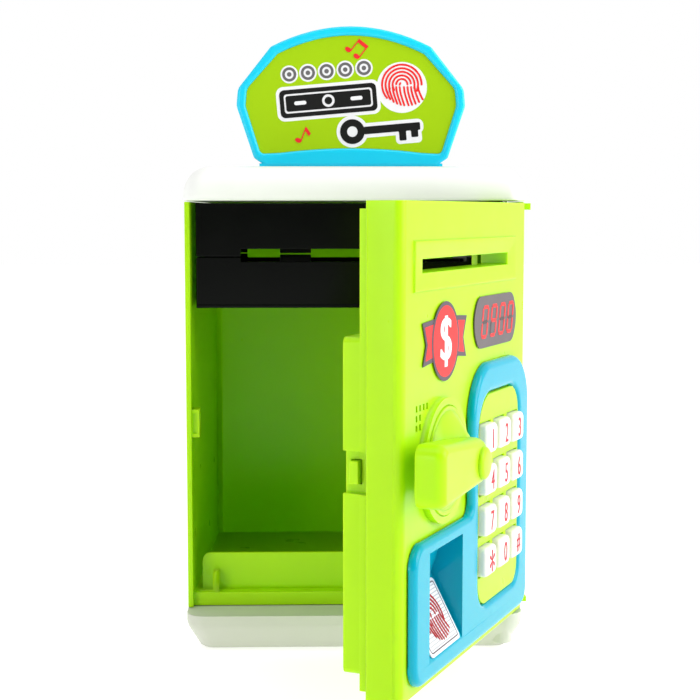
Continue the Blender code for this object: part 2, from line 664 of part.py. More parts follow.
def make_door_shell():
    """The green door: a shell that is open behind, with its slot, keypad field, collar and openings."""
    left, right = door_x(DOOR_W), DOOR_EDGE_X
    face, back = FRONT_Y, door_y(DOOR_T)
    rim = rounded([(left, face, DOOR_EDGE_R), (right, face, DOOR_EDGE_R), (right, back, DOOR_EDGE_R),
                   (left, back, 1)], 4)
    shell = prism("door_shell", [rim], "Z", door_z(DOOR_LOW), door_z(DOOR_HIGH), GREEN, DOOR)
    skin = DOOR_SKIN
    cut(shell, boxes("door_hollow", [door_corners((12.0, DOOR_W - skin), (skin, DOOR_T + 2),
                                                  (DOOR_LOW + skin, DOOR_HIGH - skin))], parent=DOOR))
    pad = door_outline(rounded(keypad_corners(0), 5))
    axis = (door_x(HANDLE[0]), door_z(HANDLE[1]))
    bosses = [(door_x(u), door_z(h)) for u, h in SCREW_PLACES]
    half = FRAME_RISE / 2
    rim_sections = [(door_rectangle(SLOT_FRAME), door_y(0.5)), (door_rectangle(SLOT_FRAME), door_y(-half)),
                    (door_rectangle(SLOT_FRAME, -half), door_y(-FRAME_RISE))]
    chute = door_corners(widened(SLOT[:2], 1.6), (1, CHUTE_V), widened(SLOT[2:], 1.6))
    join(shell,
         prism("keypad_pad", [pad], "Y", door_y(-PAD_RISE), door_y(0.5), parent=DOOR),
         rods("handle_collar", [axis], "Y", COLLAR_R, door_y(-COLLAR_RISE), door_y(0.5), parent=DOOR,
              sides=56),
         loft("slot_frame", rim_sections, parent=DOOR, axis="Y"),
         boxes("note_chute", [chute], parent=DOOR),
         rods("cover_bosses", bosses, "Y", 2.3, door_y(1), door_y(DOOR_T), parent=DOOR, sides=16))
    mouth = door_rectangle(SLOT_FRAME, -FRAME_LAND)
    throat = [(mouth, door_y(-FRAME_RISE - 0.5)), (mouth, door_y(-FRAME_RISE)),
              (door_rectangle(SLOT), door_y(SLOT_SINK))]
    slits = []
    for row, count in enumerate((4, 2, 2)):
        for column in range(count):
            u, h = 112.1 - 3.05 * column, 89.0 - 2.95 * row
            slits.append(door_corners((u - 0.75, u + 0.75), (-1, 3), (h - 1, h + 1)))
    recess = door_corners((WINDOW[0] - 2.1, WINDOW[1] + 2.1), (-1, 3), (7.6, 46.2))
    cut(shell,
        loft("note_funnel", throat, parent=DOOR, axis="Y"),
        boxes("note_slot", [door_corners(SLOT[:2], (-1, CHUTE_V + 1), SLOT[2:])], parent=DOOR),
        boxes("key_holes", key_boxes(0.4, (-4, 5)), parent=DOOR),
        rods("dial_seat", [axis], "Y", DIAL_R + GAP, door_y(-COLLAR_RISE - 1), door_y(-0.9), parent=DOOR,
             sides=56),
        rods("hub_hole", [axis], "Y", 5.4, door_y(-3), door_y(4), parent=DOOR),
        boxes("speaker_slits", slits, parent=DOOR),
        boxes("recess_opening", [recess], parent=DOOR),
        rods("pin_hole_high", [PIVOT], "Z", PIN_R + GAP, 154, 170, parent=DOOR),
        rods("pin_hole_low", [PIVOT], "Z", PIN_R + GAP, 10, 25, parent=DOOR),
        rods("cover_pilots", bosses, "Y", 1.3, door_y(5), door_y(DOOR_T + 1), parent=DOOR, sides=12))


def make_door_cover():
    """The door's inner cover: a plate with a raised hollow box, a note slot and a latch notch."""
    plate = [door_corners((7.4, 122.1), COVER_V, (3.0, 149.3))]
    cover = boxes("door_inner_cover", plate, GREEN, DOOR)
    box = rounded_box(door_x(BOX[1]), door_x(BOX[0]), door_z(BOX[2]), door_z(BOX[3]), 2, 3)
    hollow = door_corners(widened(BOX[:2], -1.8), (COVER_V[0] - 1, BOX_BACK_V - 1.8), widened(BOX[2:], -1.8))
    join(cover, prism("cover_box", [box], "Y", door_y(COVER_V[0] + 1), door_y(BOX_BACK_V), parent=DOOR))
    notch = door_corners((NOTCH[0], 125), (11, 22), NOTCH[1:])
    cut(cover, boxes("box_hollow", [hollow], parent=DOOR))
    latch_block = door_corners((113, NOTCH[0] + 1.5), (COVER_V[0], BOX_BACK_V - 1), widened(NOTCH[1:], 2))
    join(cover, boxes("notch_walls", [latch_block], parent=DOOR))
    bolt_way = door_corners((110, NOTCH[0] + 4), (14.9, 18.6), (BOLT_H - 3.8, BOLT_H + 3.8))
    screws = [(door_x(u), door_z(h)) for u, h in SCREW_PLACES]
    post = [((-52.2 - 2.6, door_y(11), door_z(5)), (-52.2 + 2.6, door_y(22), 27.6))]
    cut(cover, boxes("latch_notch", [notch], parent=DOOR),
        boxes("bolt_way", [bolt_way], parent=DOOR),
        boxes("chute_slot", [door_corners(widened(SLOT[:2], 2), (11, 16), widened(SLOT[2:], 2))],
              parent=DOOR),
        boxes("post_relief", post, parent=DOOR),
        rods("cover_screw_holes", screws, "Y", 1.3, door_y(11), door_y(16), parent=DOOR, sides=12),
        rods("cover_screw_seats", screws, "Y", 2.2, door_y(12.8), door_y(16), parent=DOOR, sides=20))


def make_bezel():
    """The cyan surround of the keypad, in one piece with the fingerprint recess."""
    corners = [(4.4, 3.5, 7), (119.9, 3.5, 8), (119.9, 48.2, 8),
               (66.4, 48.2, 1.5), (66.4, 97.6, 17), (4.4, 97.6, 16)]
    hole = rounded(keypad_corners(GAP), 5)
    bezel = prism("keypad_bezel", [door_outline(rounded(corners, 5)), door_outline(hole)],
                  "Y", door_y(-BEZEL_RISE), door_y(-GAP), BLUE, DOOR)
    deep_v, deep_h = RECESS_DEEPEST
    u0, u1, low, high = WINDOW
    skin = 1.4
    pocket = [(-0.5, low - skin), (-0.5, high + skin), (RECESS_TOP_V + 1.2, high + skin),
              (deep_v + 1.6, deep_h)]
    outside_v = -BEZEL_RISE - 1
    inside = [(outside_v, low - 1.9), (outside_v, high), (RECESS_TOP_V, high), (deep_v, deep_h)]
    join(bezel, prism("recess_pocket", [[(door_y(v), door_z(h)) for v, h in pocket]], "X",
                      door_x(u1 + skin), door_x(u0 - skin), parent=DOOR))
    cut(bezel, prism("recess_inside", [[(door_y(v), door_z(h)) for v, h in inside]], "X",
                     door_x(u1), door_x(u0), parent=DOOR))


def make_labels():
    """Printed labels: the fingerprint field on the recess's slope, the display and the emblem."""
    deep_v, deep_h = RECESS_DEEPEST
    slope = Vector((-BEZEL_RISE - deep_v, WINDOW[2] - deep_h))
    out = Vector((slope.y, -slope.x)).normalized()
    top = Vector((deep_v, deep_h)) + slope * 0.09
    bottom = Vector((deep_v, deep_h)) + slope * 0.94
    corners = [top + out * 0.3, bottom + out * 0.3, bottom + out * 0.7, top + out * 0.7]
    prism("fingerprint_label", [[(door_y(v), door_z(h)) for v, h in corners]], "X",
          door_x(105.8), door_x(79.5), LABEL_PRINT, DOOR)
    badge = [(18, 102.4, 4), (56, 102.4, 4), (62.2, 111.2, 6), (56, 120, 4), (18, 120, 4), (11.8, 111.2, 6)]
    prism("display_label", [door_outline(rounded(badge, 3))], "Y", door_y(-LABEL_RISE), door_y(-GAP),
          DISPLAY_PRINT, DOOR)
    u, h, radius = EMBLEM
    disc = rods("emblem_label", [(door_x(u), door_z(h))], "Y", radius, door_y(-LABEL_RISE), door_y(-GAP),
                EMBLEM_PRINT, DOOR, sides=40)
    ribbon = [(u - 20.4, h - 6.7), (u - 17.4, h), (u - 20.4, h + 6), (u - 8, h + 8), (u + 8, h + 8),
              (u + 20.4, h + 6.7), (u + 17.4, h), (u + 20.4, h - 6.7), (u + 8, h - 5), (u - 8, h - 5)]
    join(disc, prism("emblem_ribbon", [door_outline(ribbon)], "Y", door_y(-LABEL_RISE), door_y(-GAP),
                     parent=DOOR))


def make_keys():
    """Twelve push keys, each with a flange behind the door's skin."""
    names = ["1", "2", "3", "4", "5", "6", "7", "8", "9", "star", "0", "hash"]
    half_u, half_h = KEY_SIZE[0] / 2, KEY_SIZE[1] / 2
    for index, u, h in key_places():
        label = names[index]
        centre = (door_x(u), door_y(0), door_z(h))
        bm = bmesh.new()
        add_box(bm, *door_corners((u - half_u, u + half_u), (-KEY_RISE, 3.2), (h - half_h, h + half_h)))
        front = [e for e in bm.edges if all(v.co.y < door_y(-1) for v in e.verts)]
        bmesh.ops.bevel(bm, geom=front, offset=KEY_ROUND, segments=2, affect="EDGES", profile=0.5)
        key = mesh_piece(f"key_{label}", bm, KEY_WHITE, DOOR, centre)
        flange = door_corners((u - half_u - 1, u + half_u + 1), (2.2, 3.2), (h - half_h - 1, h + half_h + 1))
        join(key, boxes(f"key_flange_{label}", [flange], parent=DOOR))


def make_keypad_electronics():
    """Rubber membrane, circuit board and speaker inside the door."""
    boxes("keypad_membrane", [door_corners((14.5, 62), (4.7, 6.2), (19, 84))], RUBBER, DOOR)
    boxes("circuit_board", [door_corners((13, 64), (6.6, 8.2), (16, 96))], BOARD_GREEN, DOOR)
    speaker = [(0, 9.4), (6, 9.4), (6, 7), (10, 6.6), (12, 3.6), (12, 2.2), (10.8, 2.2), (6, 4.4), (0, 4.8)]
    profile = [(radius, door_y(v)) for radius, v in speaker]
    turned("speaker", profile, (door_x(107.5), door_z(93)), "Y", BLACK, DOOR, 28)


def make_handle():
    """The turning handle: dial, lever and hub, with the crank that draws the bolt."""
    u, h = HANDLE
    across = (door_x(u), door_z(h))
    origin = (across[0], door_y(0), across[1])
    handle = rods("handle_lever", [across], "Y", DIAL_R, door_y(DIAL_V[0]), door_y(DIAL_V[1]), GREEN, DOOR,
                  origin, sides=56)
    tip = arc((u, h + 0.3), 7.6, 255, 105, 6)
    outline = tip + [(u + 32, h + 10.4), (u + 35, h + 9.2), (u + 36, h + 6.6),
                     (u + 36, h - 5.8), (u + 35, h - 8.4), (u + 32, h - 9.4)]
    cone = [(arc(across, radius, 0, 360, 57)[:-1], level)
            for radius, level in ((CONE[0], door_y(CONE[1])), (DIAL_R - 0.3, door_y(DIAL_V[0] + 0.2)))]
    arm_front, arm_back = door_y(LEVER_V[0]), door_y(LEVER_V[1])
    join(handle,
         prism("lever_arm", [door_outline(outline)], "Y", arm_front, arm_back, parent=DOOR),
         loft("dial_cone", cone, parent=DOOR, axis="Y"),
         rods("lever_boss", [across], "Y", 5.2, arm_front - 1.5, arm_front + 1, parent=DOOR),
         rods("handle_hub", [across], "Y", 4.8, door_y(-2), door_y(11.9), parent=DOOR))
    crank = rods("latch_crank", [across], "Y", 6.5, door_y(12.2), door_y(14.3), GEAR_WHITE, DOOR, origin)
    angle = math.radians(-60)
    pin = (door_x(u + 4 * math.cos(angle)), door_z(h + 4 * math.sin(angle)))
    join(crank, rods("crank_pin", [pin], "Y", 1.0, door_y(14), door_y(17.9), parent=DOOR, sides=14))


def make_latch():
    """The sliding bolt, with the slot that the crank pin moves, and the solenoid that locks it."""
    u, h = HANDLE
    pin_u, pin_h = u + 4 * math.cos(math.radians(60)), h - 4 * math.sin(math.radians(60))
    vs = (15.2, 18.2)
    bolt = boxes("latch_bolt", [door_corners((85, 121.4), vs, (BOLT_H - 3.5, BOLT_H + 3.5))], GREEN, DOOR,
                 (door_x(110), door_y(16.7), door_z(BOLT_H)))
    join(bolt, boxes("bolt_head", [door_corners((87, 99), vs, (62, BOLT_H + 3.5))], parent=DOOR))
    slot = door_corners((pin_u - 1.35, pin_u + 1.35), (vs[0] - 1, vs[1] + 1), (pin_h - 2.2, pin_h + 2.2))
    cut(bolt, boxes("bolt_slot", [slot], parent=DOOR))
    coil = boxes("solenoid_coil", [door_corners((91.5, 104.5), (11.6, 18.1), (80, 96))], COPPER, DOOR)
    plunger_at = (door_x(98), door_y(14.9))
    cut(coil, rods("plunger_bore", [plunger_at], "Z", 1.9, door_z(79), door_z(97), parent=DOOR))
    turned("solenoid_plunger", ((0, door_z(95)), (1.6, door_z(95)), (1.6, door_z(77)), (0, door_z(77))),
           plunger_at, "Z", STEEL, DOOR, 16)


make_base()
make_roof()
make_case()
make_screws()
make_batteries()
make_sign()
make_feeder()
make_feeder_drive()
make_hinge_pins()
make_door_shell()
make_door_cover()
make_bezel()
make_labels()
make_keys()
make_keypad_electronics()
make_handle()
make_latch()
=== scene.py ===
import json
import math

import bmesh
import bpy
import numpy as np
from mathutils import Matrix, Vector


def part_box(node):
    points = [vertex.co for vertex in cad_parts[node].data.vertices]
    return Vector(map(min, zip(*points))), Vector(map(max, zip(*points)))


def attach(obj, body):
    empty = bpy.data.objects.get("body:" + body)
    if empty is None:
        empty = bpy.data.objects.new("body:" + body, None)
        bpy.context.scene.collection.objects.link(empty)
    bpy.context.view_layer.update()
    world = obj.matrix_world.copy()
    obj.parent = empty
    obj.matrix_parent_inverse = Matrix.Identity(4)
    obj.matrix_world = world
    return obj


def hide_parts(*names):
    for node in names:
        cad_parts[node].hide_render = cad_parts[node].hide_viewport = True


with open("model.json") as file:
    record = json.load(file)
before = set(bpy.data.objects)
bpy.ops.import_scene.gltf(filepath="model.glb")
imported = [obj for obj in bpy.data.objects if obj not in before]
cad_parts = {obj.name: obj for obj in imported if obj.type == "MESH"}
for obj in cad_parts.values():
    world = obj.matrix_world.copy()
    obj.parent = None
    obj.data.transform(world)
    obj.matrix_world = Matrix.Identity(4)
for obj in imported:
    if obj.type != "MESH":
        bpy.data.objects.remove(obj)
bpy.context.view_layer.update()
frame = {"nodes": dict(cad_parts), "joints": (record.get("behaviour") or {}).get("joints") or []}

MM = 0.001
JOINTS = {joint["name"]: joint for joint in frame["joints"]}
PIVOT = Vector(JOINTS["door_hinge"]["pos_m"]) / MM
HANDLE_AXIS = JOINTS["handle_turn"]["axis"]
DOOR_TURN = math.atan2(HANDLE_AXIS[0], -HANDLE_AXIS[1])
OPENED = Matrix.Translation(PIVOT) @ Matrix.Rotation(DOOR_TURN, 4, "Z") @ Matrix.Translation(-PIVOT)
# Turns a picture to face the front: its x stays x, its y goes up and it is seen along +Y.
FACING = Matrix.Rotation(math.pi / 2, 4, "X")
ROOT = "bank"

# The bank
SHELF_Z = 13.5                            # level of the door's lower edge line
HALF_W = 62.5
HALF_D = 61.5
CORNER = 7.0                              # radius of the footprint's corners
ROOF_Z = 165.9                            # underside of the roof's rim
ROOF_RIM_Z = 167.0                        # where the roof starts to curve in
ROOF_RISE = 11.2
ROOF_SHOULDER = 9.0
SIGN_TOP_Z = 235.1
CARD_FRONT = 2.0                          # the sign card's face, in front of the sign's middle

# Door furniture, in door coordinates
EDGE_X = 62.0                             # the door's hinge edge, where u is 0
HANDLE = (90.8, 70.3)                     # the dial's axis: u, h
DIAL_R = 17.4
KEY_SIZE = (11.5, 10.1)
KEY_PITCH = (15.1, 14.0)
KEY_CENTRE = (38.2, 51.2)                 # middle of the keypad: u, h
KEY_TOP = 5.32
WINDOW = (77.3, 107.9, 9.6, 44.2)         # mouth of the fingerprint recess: u, u, h, h
RECESS_DEEPEST = (7.95, 30.5)             # the recess's deepest line: v, h
EMBLEM = (88.1, 107.8)
DISPLAY = (37.0, 111.2)
DOOR_LABEL_TOP = 0.65                     # how far a label's face stands out of the door


def door_x(u):
    """A door coordinate u as the closed door's x."""
    return EDGE_X - u


def door_y(v):
    """A door coordinate v as the closed door's y."""
    return -HALF_D + v


def door_z(h):
    """A door coordinate h as a level above the table."""
    return SHELF_Z + h


# ---------------------------------------------------------------- materials

CLOUD_SCALE = 45.0                        # noise features per metre, about, of a moulding's colour
PEEL_SCALE = 1400.0                       # and of its orange-peel relief
SPREAD_BY_COLOUR = (0.9, 1.0, 0.4)        # how far red, green and blue light spread inside, by share
INK_RELIEF = 0.000002


def new_material(name):
    """A material's nodes: the shader, a function that adds nodes and one that links sockets."""
    made = bpy.data.materials.new(name)
    made.use_nodes = True
    tree = made.node_tree

    def add(kind, **values):
        node = tree.nodes.new(kind)
        for key, value in values.items():
            if key in node.inputs:
                node.inputs[key].default_value = value
            else:
                setattr(node, key, value)
        return node

    return made, tree.nodes["Principled BSDF"], add, tree.links.new


def mottle(add, link, shader, colour, spread, scale):
    """Lets a colour wander a little between a darker and a lighter shade of itself."""
    place = add("ShaderNodeTexCoord")
    cloud = add("ShaderNodeTexNoise", Scale=scale, Detail=4.0, Roughness=0.6)
    ramp = add("ShaderNodeValToRGB")
    for stop, factor, at in ((0, 1 - spread, 0.3), (1, 1 + spread, 0.7)):
        ramp.color_ramp.elements[stop].color = (*(min(c * factor, 1.0) for c in colour), 1.0)
        ramp.color_ramp.elements[stop].position = at
    link(place.outputs["Object"], cloud.inputs["Vector"])
    link(cloud.outputs["Fac"], ramp.inputs["Fac"])
    link(ramp.outputs["Color"], shader.inputs["Base Color"])
    return place


def grain(add, link, shader, place, scale, depth, roughness):
    """Fine surface relief, and a gloss that varies a little between two values of roughness."""
    fine = add("ShaderNodeTexNoise", Scale=scale, Detail=6.0, Roughness=0.65)
    bump = add("ShaderNodeBump", Strength=1.0, Distance=depth)
    broad = add("ShaderNodeTexNoise", Scale=scale / 16, Detail=3.0)
    gloss = add("ShaderNodeMapRange")
    gloss.inputs["To Min"].default_value = roughness[0]
    gloss.inputs["To Max"].default_value = roughness[1]
    link(place.outputs["Object"], fine.inputs["Vector"])
    link(fine.outputs["Fac"], bump.inputs["Height"])
    link(bump.outputs["Normal"], shader.inputs["Normal"])
    link(place.outputs["Object"], broad.inputs["Vector"])
    link(broad.outputs["Fac"], gloss.inputs["Value"])
    link(gloss.outputs["Result"], shader.inputs["Roughness"])


def plastic(name, colour, roughness=(0.24, 0.36), spread=0.015, depth=0.000004, milky=0.0, level=0.3,
            reach=0.002):
    """Moulded plastic: nearly even colour, faint orange-peel relief, and a little light passing through.

    depth is the relief's height and reach how far light spreads inside, both in metres.
    """
    made, shader, add, link = new_material(name)
    place = mottle(add, link, shader, colour, spread, CLOUD_SCALE)
    grain(add, link, shader, place, PEEL_SCALE, depth, roughness)
    shader.inputs["IOR"].default_value = 1.5
    shader.inputs["Specular IOR Level"].default_value = level
    if milky:
        shader.inputs["Subsurface Weight"].default_value = milky
        shader.inputs["Subsurface Radius"].default_value = SPREAD_BY_COLOUR
        shader.inputs["Subsurface Scale"].default_value = reach
    return made


def metal(name, colour, roughness, brushed=(1.0, 1.0, 30.0)):
    """Drawn or stamped metal with fine lines along one direction."""
    made, shader, add, link = new_material(name)
    shader.inputs["Metallic"].default_value = 1.0
    place = mottle(add, link, shader, colour, 0.06, 160.0)
    stretch = add("ShaderNodeMapping", Scale=brushed)
    lines = add("ShaderNodeTexNoise", Scale=500.0, Detail=5.0)
    bump = add("ShaderNodeBump", Strength=0.6, Distance=0.00001)
    gloss = add("ShaderNodeMapRange")
    gloss.inputs["To Min"].default_value = roughness * 0.8
    gloss.inputs["To Max"].default_value = roughness * 1.25
    link(place.outputs["Object"], stretch.inputs["Vector"])
    link(stretch.outputs["Vector"], lines.inputs["Vector"])
    link(lines.outputs["Fac"], bump.inputs["Height"])
    link(bump.outputs["Normal"], shader.inputs["Normal"])
    link(lines.outputs["Fac"], gloss.inputs["Value"])
    link(gloss.outputs["Result"], shader.inputs["Roughness"])
    return made


LIME = (0.405, 0.745, 0.003)
GREEN = plastic("lime_moulded_plastic", LIME, milky=0.35, level=0.2, reach=0.005)
BLUE = plastic("cyan_moulded_plastic", (0.010, 0.60, 0.84), (0.20, 0.30), milky=0.08, level=0.35)
# A darker copy of the cyan moulded plastic of the sign frame, for the keypad bezel: painted shade.
BLUE_PAINTED_SHADE = plastic("cyan_plastic_painted_shade", (0.002, 0.355, 0.495), (0.10, 0.16), milky=0.08, level=0.2)
WHITE = plastic("white_moulded_plastic", (0.81, 0.82, 0.79), (0.30, 0.42))
# A darker copy of the white moulded plastic, for the base tray and its battery cover: painted shade, as they
# face down, away from the light.
WHITE_PAINTED_SHADE = plastic("white_plastic_painted_shade", (0.60, 0.615, 0.53), (0.30, 0.42))
BLACK = plastic("black_moulded_plastic", (0.0012, 0.0018, 0.0012), (0.14, 0.22), 0.15, level=0.12)
KEY_WHITE = plastic("key_cap_plastic", (0.83, 0.79, 0.76), (0.28, 0.38), milky=0.2)
GEAR_WHITE = plastic("gear_plastic", (0.78, 0.77, 0.70), (0.35, 0.48), 0.03)
CARD = plastic("sign_card", (0.345, 0.575, 0.002), (0.42, 0.55), 0.02, INK_RELIEF, level=0.15)
STICKER = plastic("white_sticker", (0.82, 0.81, 0.84), (0.40, 0.5), 0.015, INK_RELIEF)
RED_INK = plastic("red_ink", (0.78, 0.022, 0.022), (0.4, 0.5), 0.03, INK_RELIEF, level=0.25)
KEY_INK = plastic("key_red_ink", (0.56, 0.018, 0.035), (0.4, 0.5), 0.03, INK_RELIEF, level=0.2)
DARK_RED_INK = plastic("dark_red_ink", (0.36, 0.006, 0.012), (0.4, 0.5), 0.03, INK_RELIEF, level=0.2)
BLACK_INK = plastic("black_ink", (0.006, 0.006, 0.006), (0.4, 0.5), 0.1, INK_RELIEF, level=0.2)
GREY_INK = plastic("grey_ink", (0.13, 0.125, 0.13), (0.4, 0.5), 0.05, INK_RELIEF)
BADGE_INK = plastic("badge_ink", (0.105, 0.085, 0.09), (0.35, 0.45), 0.05, INK_RELIEF)
PALE_INK = plastic("pale_grey_ink", (0.50, 0.50, 0.52), (0.4, 0.5), 0.05, INK_RELIEF)
VIOLET_INK = plastic("violet_grey_ink", (0.085, 0.06, 0.08), (0.4, 0.5), 0.05, INK_RELIEF)
DIM_RED_INK = plastic("dim_red_ink", (0.065, 0.040, 0.045), (0.4, 0.5), 0.05, INK_RELIEF)
RUBBER = plastic("roller_rubber", (0.018, 0.018, 0.019), (0.62, 0.8), 0.2, 0.00004, level=0.3)
STEEL = metal("drawn_steel", (0.56, 0.56, 0.57), 0.28)
NICKEL = metal("nickel_plated_steel", (0.72, 0.69, 0.62), 0.24)
CAN = metal("motor_can", (0.60, 0.60, 0.61), 0.34, (30.0, 1.0, 1.0))


def board_material():
    """Green circuit board with copper tracks under its lacquer."""
    made, shader, add, link = new_material("circuit_board_lacquer")
    place = add("ShaderNodeTexCoord")
    tracks = add("ShaderNodeTexBrick", Scale=260.0, offset=0.35, squash=1.6)
    tracks.inputs["Color1"].default_value = (0.010, 0.13, 0.045, 1)
    tracks.inputs["Color2"].default_value = (0.012, 0.16, 0.055, 1)
    tracks.inputs["Mortar"].default_value = (0.10, 0.32, 0.08, 1)
    tracks.inputs["Mortar Size"].default_value = 0.03
    link(place.outputs["Object"], tracks.inputs["Vector"])
    link(tracks.outputs["Color"], shader.inputs["Base Color"])
    shader.inputs["Roughness"].default_value = 0.32
    return made


def winding_material():
    """Enamelled copper wire, wound in close turns."""
    made, shader, add, link = new_material("enamelled_winding")
    place = add("ShaderNodeTexCoord")
    turns = add("ShaderNodeTexWave", Scale=420.0, Distortion=0.4, bands_direction="Z")
    # The wire's colour follows its relief: darker in the grooves between turns as painted shade, full copper
    # on the crests.
    ramp = add("ShaderNodeValToRGB")
    ramp.color_ramp.elements[0].color = (0.22, 0.06, 0.012, 1)
    ramp.color_ramp.elements[1].color = (0.78, 0.30, 0.07, 1)
    bump = add("ShaderNodeBump", Strength=0.8, Distance=0.00015)
    link(place.outputs["Object"], turns.inputs["Vector"])
    link(turns.outputs["Fac"], ramp.inputs["Fac"])
    link(ramp.outputs["Color"], shader.inputs["Base Color"])
    link(turns.outputs["Fac"], bump.inputs["Height"])
    link(bump.outputs["Normal"], shader.inputs["Normal"])
    shader.inputs["Roughness"].default_value = 0.3
    shader.inputs["Metallic"].default_value = 0.8
    return made


def cell_material():
    """A cell's printed jacket: a dark body with an orange band round the raised end."""
    made, shader, add, link = new_material("cell_jacket_print")
    place = add("ShaderNodeTexCoord")
    split = add("ShaderNodeSeparateXYZ")
    ramp = add("ShaderNodeValToRGB")
    ramp.color_ramp.interpolation = "CONSTANT"
    ramp.color_ramp.elements[0].color = (0.02, 0.022, 0.026, 1)
    ramp.color_ramp.elements[1].color = (0.75, 0.28, 0.04, 1)
    ramp.color_ramp.elements[1].position = 0.6
    along = add("ShaderNodeMapRange")
    along.inputs["From Min"].default_value = -0.025
    along.inputs["From Max"].default_value = 0.025
    link(place.outputs["Object"], split.inputs["Vector"])
    link(split.outputs["X"], along.inputs["Value"])
    link(along.outputs["Result"], ramp.inputs["Fac"])
    link(ramp.outputs["Color"], shader.inputs["Base Color"])
    shader.inputs["Roughness"].default_value = 0.3
    return made


BOARD = board_material()
WINDING = winding_material()
CELL = cell_material()

# ---------------------------------------------------------------- shapes


def rounded(corners, steps=8):
    """A closed outline from (x, y, radius) corners, with the round stretches as arcs."""
    points = []
    for i, (x, y, radius) in enumerate(corners):
        here = Vector((x, y))
        if not radius:
            points.append((x, y))
            continue
        back = (Vector(corners[i - 1][:2]) - here).normalized()
        ahead = (Vector(corners[(i + 1) % len(corners)][:2]) - here).normalized()
        half = back.angle(ahead) / 2
        centre = here + (back + ahead).normalized() * (radius / math.sin(half))
        start = here + back * (radius / math.tan(half)) - centre
        sweep = start.angle_signed(here + ahead * (radius / math.tan(half)) - centre)
        for step in range(steps + 1):
            spoke = start.copy()
            spoke.rotate(Matrix.Rotation(-sweep * step / steps, 2))
            points.append(tuple(centre + spoke))
    return points


def rounded_box(x0, x1, y0, y1, radius, steps=8):
    """A rounded rectangle's outline."""
    return rounded([(x0, y0, radius), (x1, y0, radius), (x1, y1, radius), (x0, y1, radius)], steps)


def arc(centre, radius, first, last, steps):
    """Points along an arc or, with two radii, along part of an ellipse; the angles are in degrees."""
    rx, ry = radius if isinstance(radius, tuple) else (radius, radius)
    angles = [math.radians(first + (last - first) * i / steps) for i in range(steps + 1)]
    return [(centre[0] + rx * math.cos(a), centre[1] + ry * math.sin(a)) for a in angles]


def circle(centre, radius, steps=48):
    """A circle's outline."""
    return arc(centre, radius, 0, 360 - 360 / steps, steps - 1)


def moved(points, shift, turn=0.0, scale=1.0):
    """Outline points scaled, turned by degrees about the origin and shifted."""
    spin = Matrix.Rotation(math.radians(turn), 2)
    return [tuple(spin @ (Vector(p) * scale) + Vector(shift)) for p in points]


def slab(outlines, low, high, edge=0.0):
    """A flat outline with holes, from z = low to z = high, with its edges rounded by a radius."""
    curve = bpy.data.curves.new("outline", "CURVE")
    curve.dimensions = "2D"
    curve.fill_mode = "BOTH"
    curve.extrude = (high - low) / 2 - edge
    curve.bevel_depth = edge
    curve.bevel_resolution = 4 if edge else 0
    curve.offset = -edge
    for outline in outlines:
        spline = curve.splines.new("POLY")
        spline.points.add(len(outline) - 1)
        for point, (a, b) in zip(spline.points, outline):
            point.co = (a, b, 0, 1)
        spline.use_cyclic_u = True
    bm = from_curve(curve)
    bmesh.ops.translate(bm, vec=(0, 0, (low + high) / 2), verts=bm.verts)
    return bm


def from_curve(curve):
    """The bmesh of a curve or a text, welded; the curve is removed."""
    guide = bpy.data.objects.new("outline", curve)
    bpy.context.scene.collection.objects.link(guide)
    shape = bpy.data.meshes.new_from_object(guide.evaluated_get(bpy.context.evaluated_depsgraph_get()))
    bm = bmesh.new()
    bm.from_mesh(shape)
    bpy.data.objects.remove(guide)
    bpy.data.curves.remove(curve)
    bpy.data.meshes.remove(shape)
    bmesh.ops.remove_doubles(bm, verts=bm.verts, dist=0.001)
    return bm


def domed(outlines, thickness, edge):
    """A slab on z = 0 whose front edges alone are rounded: the front half of one twice as thick."""
    bm = slab(outlines, -thickness, thickness, edge)
    cut = bmesh.ops.bisect_plane(bm, geom=bm.verts[:] + bm.edges[:] + bm.faces[:], plane_co=(0, 0, 0),
                                 plane_no=(0, 0, -1), clear_outer=True)
    rim = [e for e in cut["geom_cut"] if isinstance(e, bmesh.types.BMEdge)]
    bmesh.ops.triangle_fill(bm, edges=rim, use_beauty=True)
    return bm


def loft(sections):
    """Stacked (outline, z) sections with equal point counts, joined into a solid."""
    bm = bmesh.new()
    rings = []
    for outline, level in sections:
        verts = [bm.verts.new((x, y, level)) for x, y in outline]
        rings.append(verts)
    for lower, upper in zip(rings, rings[1:]):
        for i in range(len(lower)):
            bm.faces.new((lower[i - 1], lower[i], upper[i], upper[i - 1]))
    bm.faces.new(reversed(rings[0]))
    bm.faces.new(rings[-1])
    return bm


def turned(profile, steps=64):
    """A profile of (radius, z) turned about z; it starts and ends on the axis."""
    bm = bmesh.new()
    verts = [bm.verts.new((radius, 0, z)) for radius, z in profile]
    edges = [bm.edges.new(pair) for pair in zip(verts, verts[1:])]
    bmesh.ops.spin(bm, geom=verts + edges, cent=(0, 0, 0), axis=(0, 0, 1), angle=2 * math.pi, steps=steps)
    bmesh.ops.remove_doubles(bm, verts=bm.verts, dist=0.0005)
    return bm


def brick(low, high):
    """A box between two corners."""
    bm = bmesh.new()
    bmesh.ops.create_cube(bm, size=1.0)
    bmesh.ops.scale(bm, vec=[b - a for a, b in zip(low, high)], verts=bm.verts)
    bmesh.ops.translate(bm, vec=[(a + b) / 2 for a, b in zip(low, high)], verts=bm.verts)
    return bm


def merged(*parts):
    """Several bmeshes in one."""
    whole = bmesh.new()
    for bm in parts:
        mesh = bpy.data.meshes.new("part")
        bm.to_mesh(mesh)
        bm.free()
        whole.from_mesh(mesh)
        bpy.data.meshes.remove(mesh)
    return whole


def placed(bm, matrix):
    """A bmesh moved by a matrix."""
    bmesh.ops.transform(bm, matrix=matrix, verts=bm.verts)
    return bm


DRAWN_CREASE = 32                         # degrees: flatter edges of a drawn shape are shaded smoothly


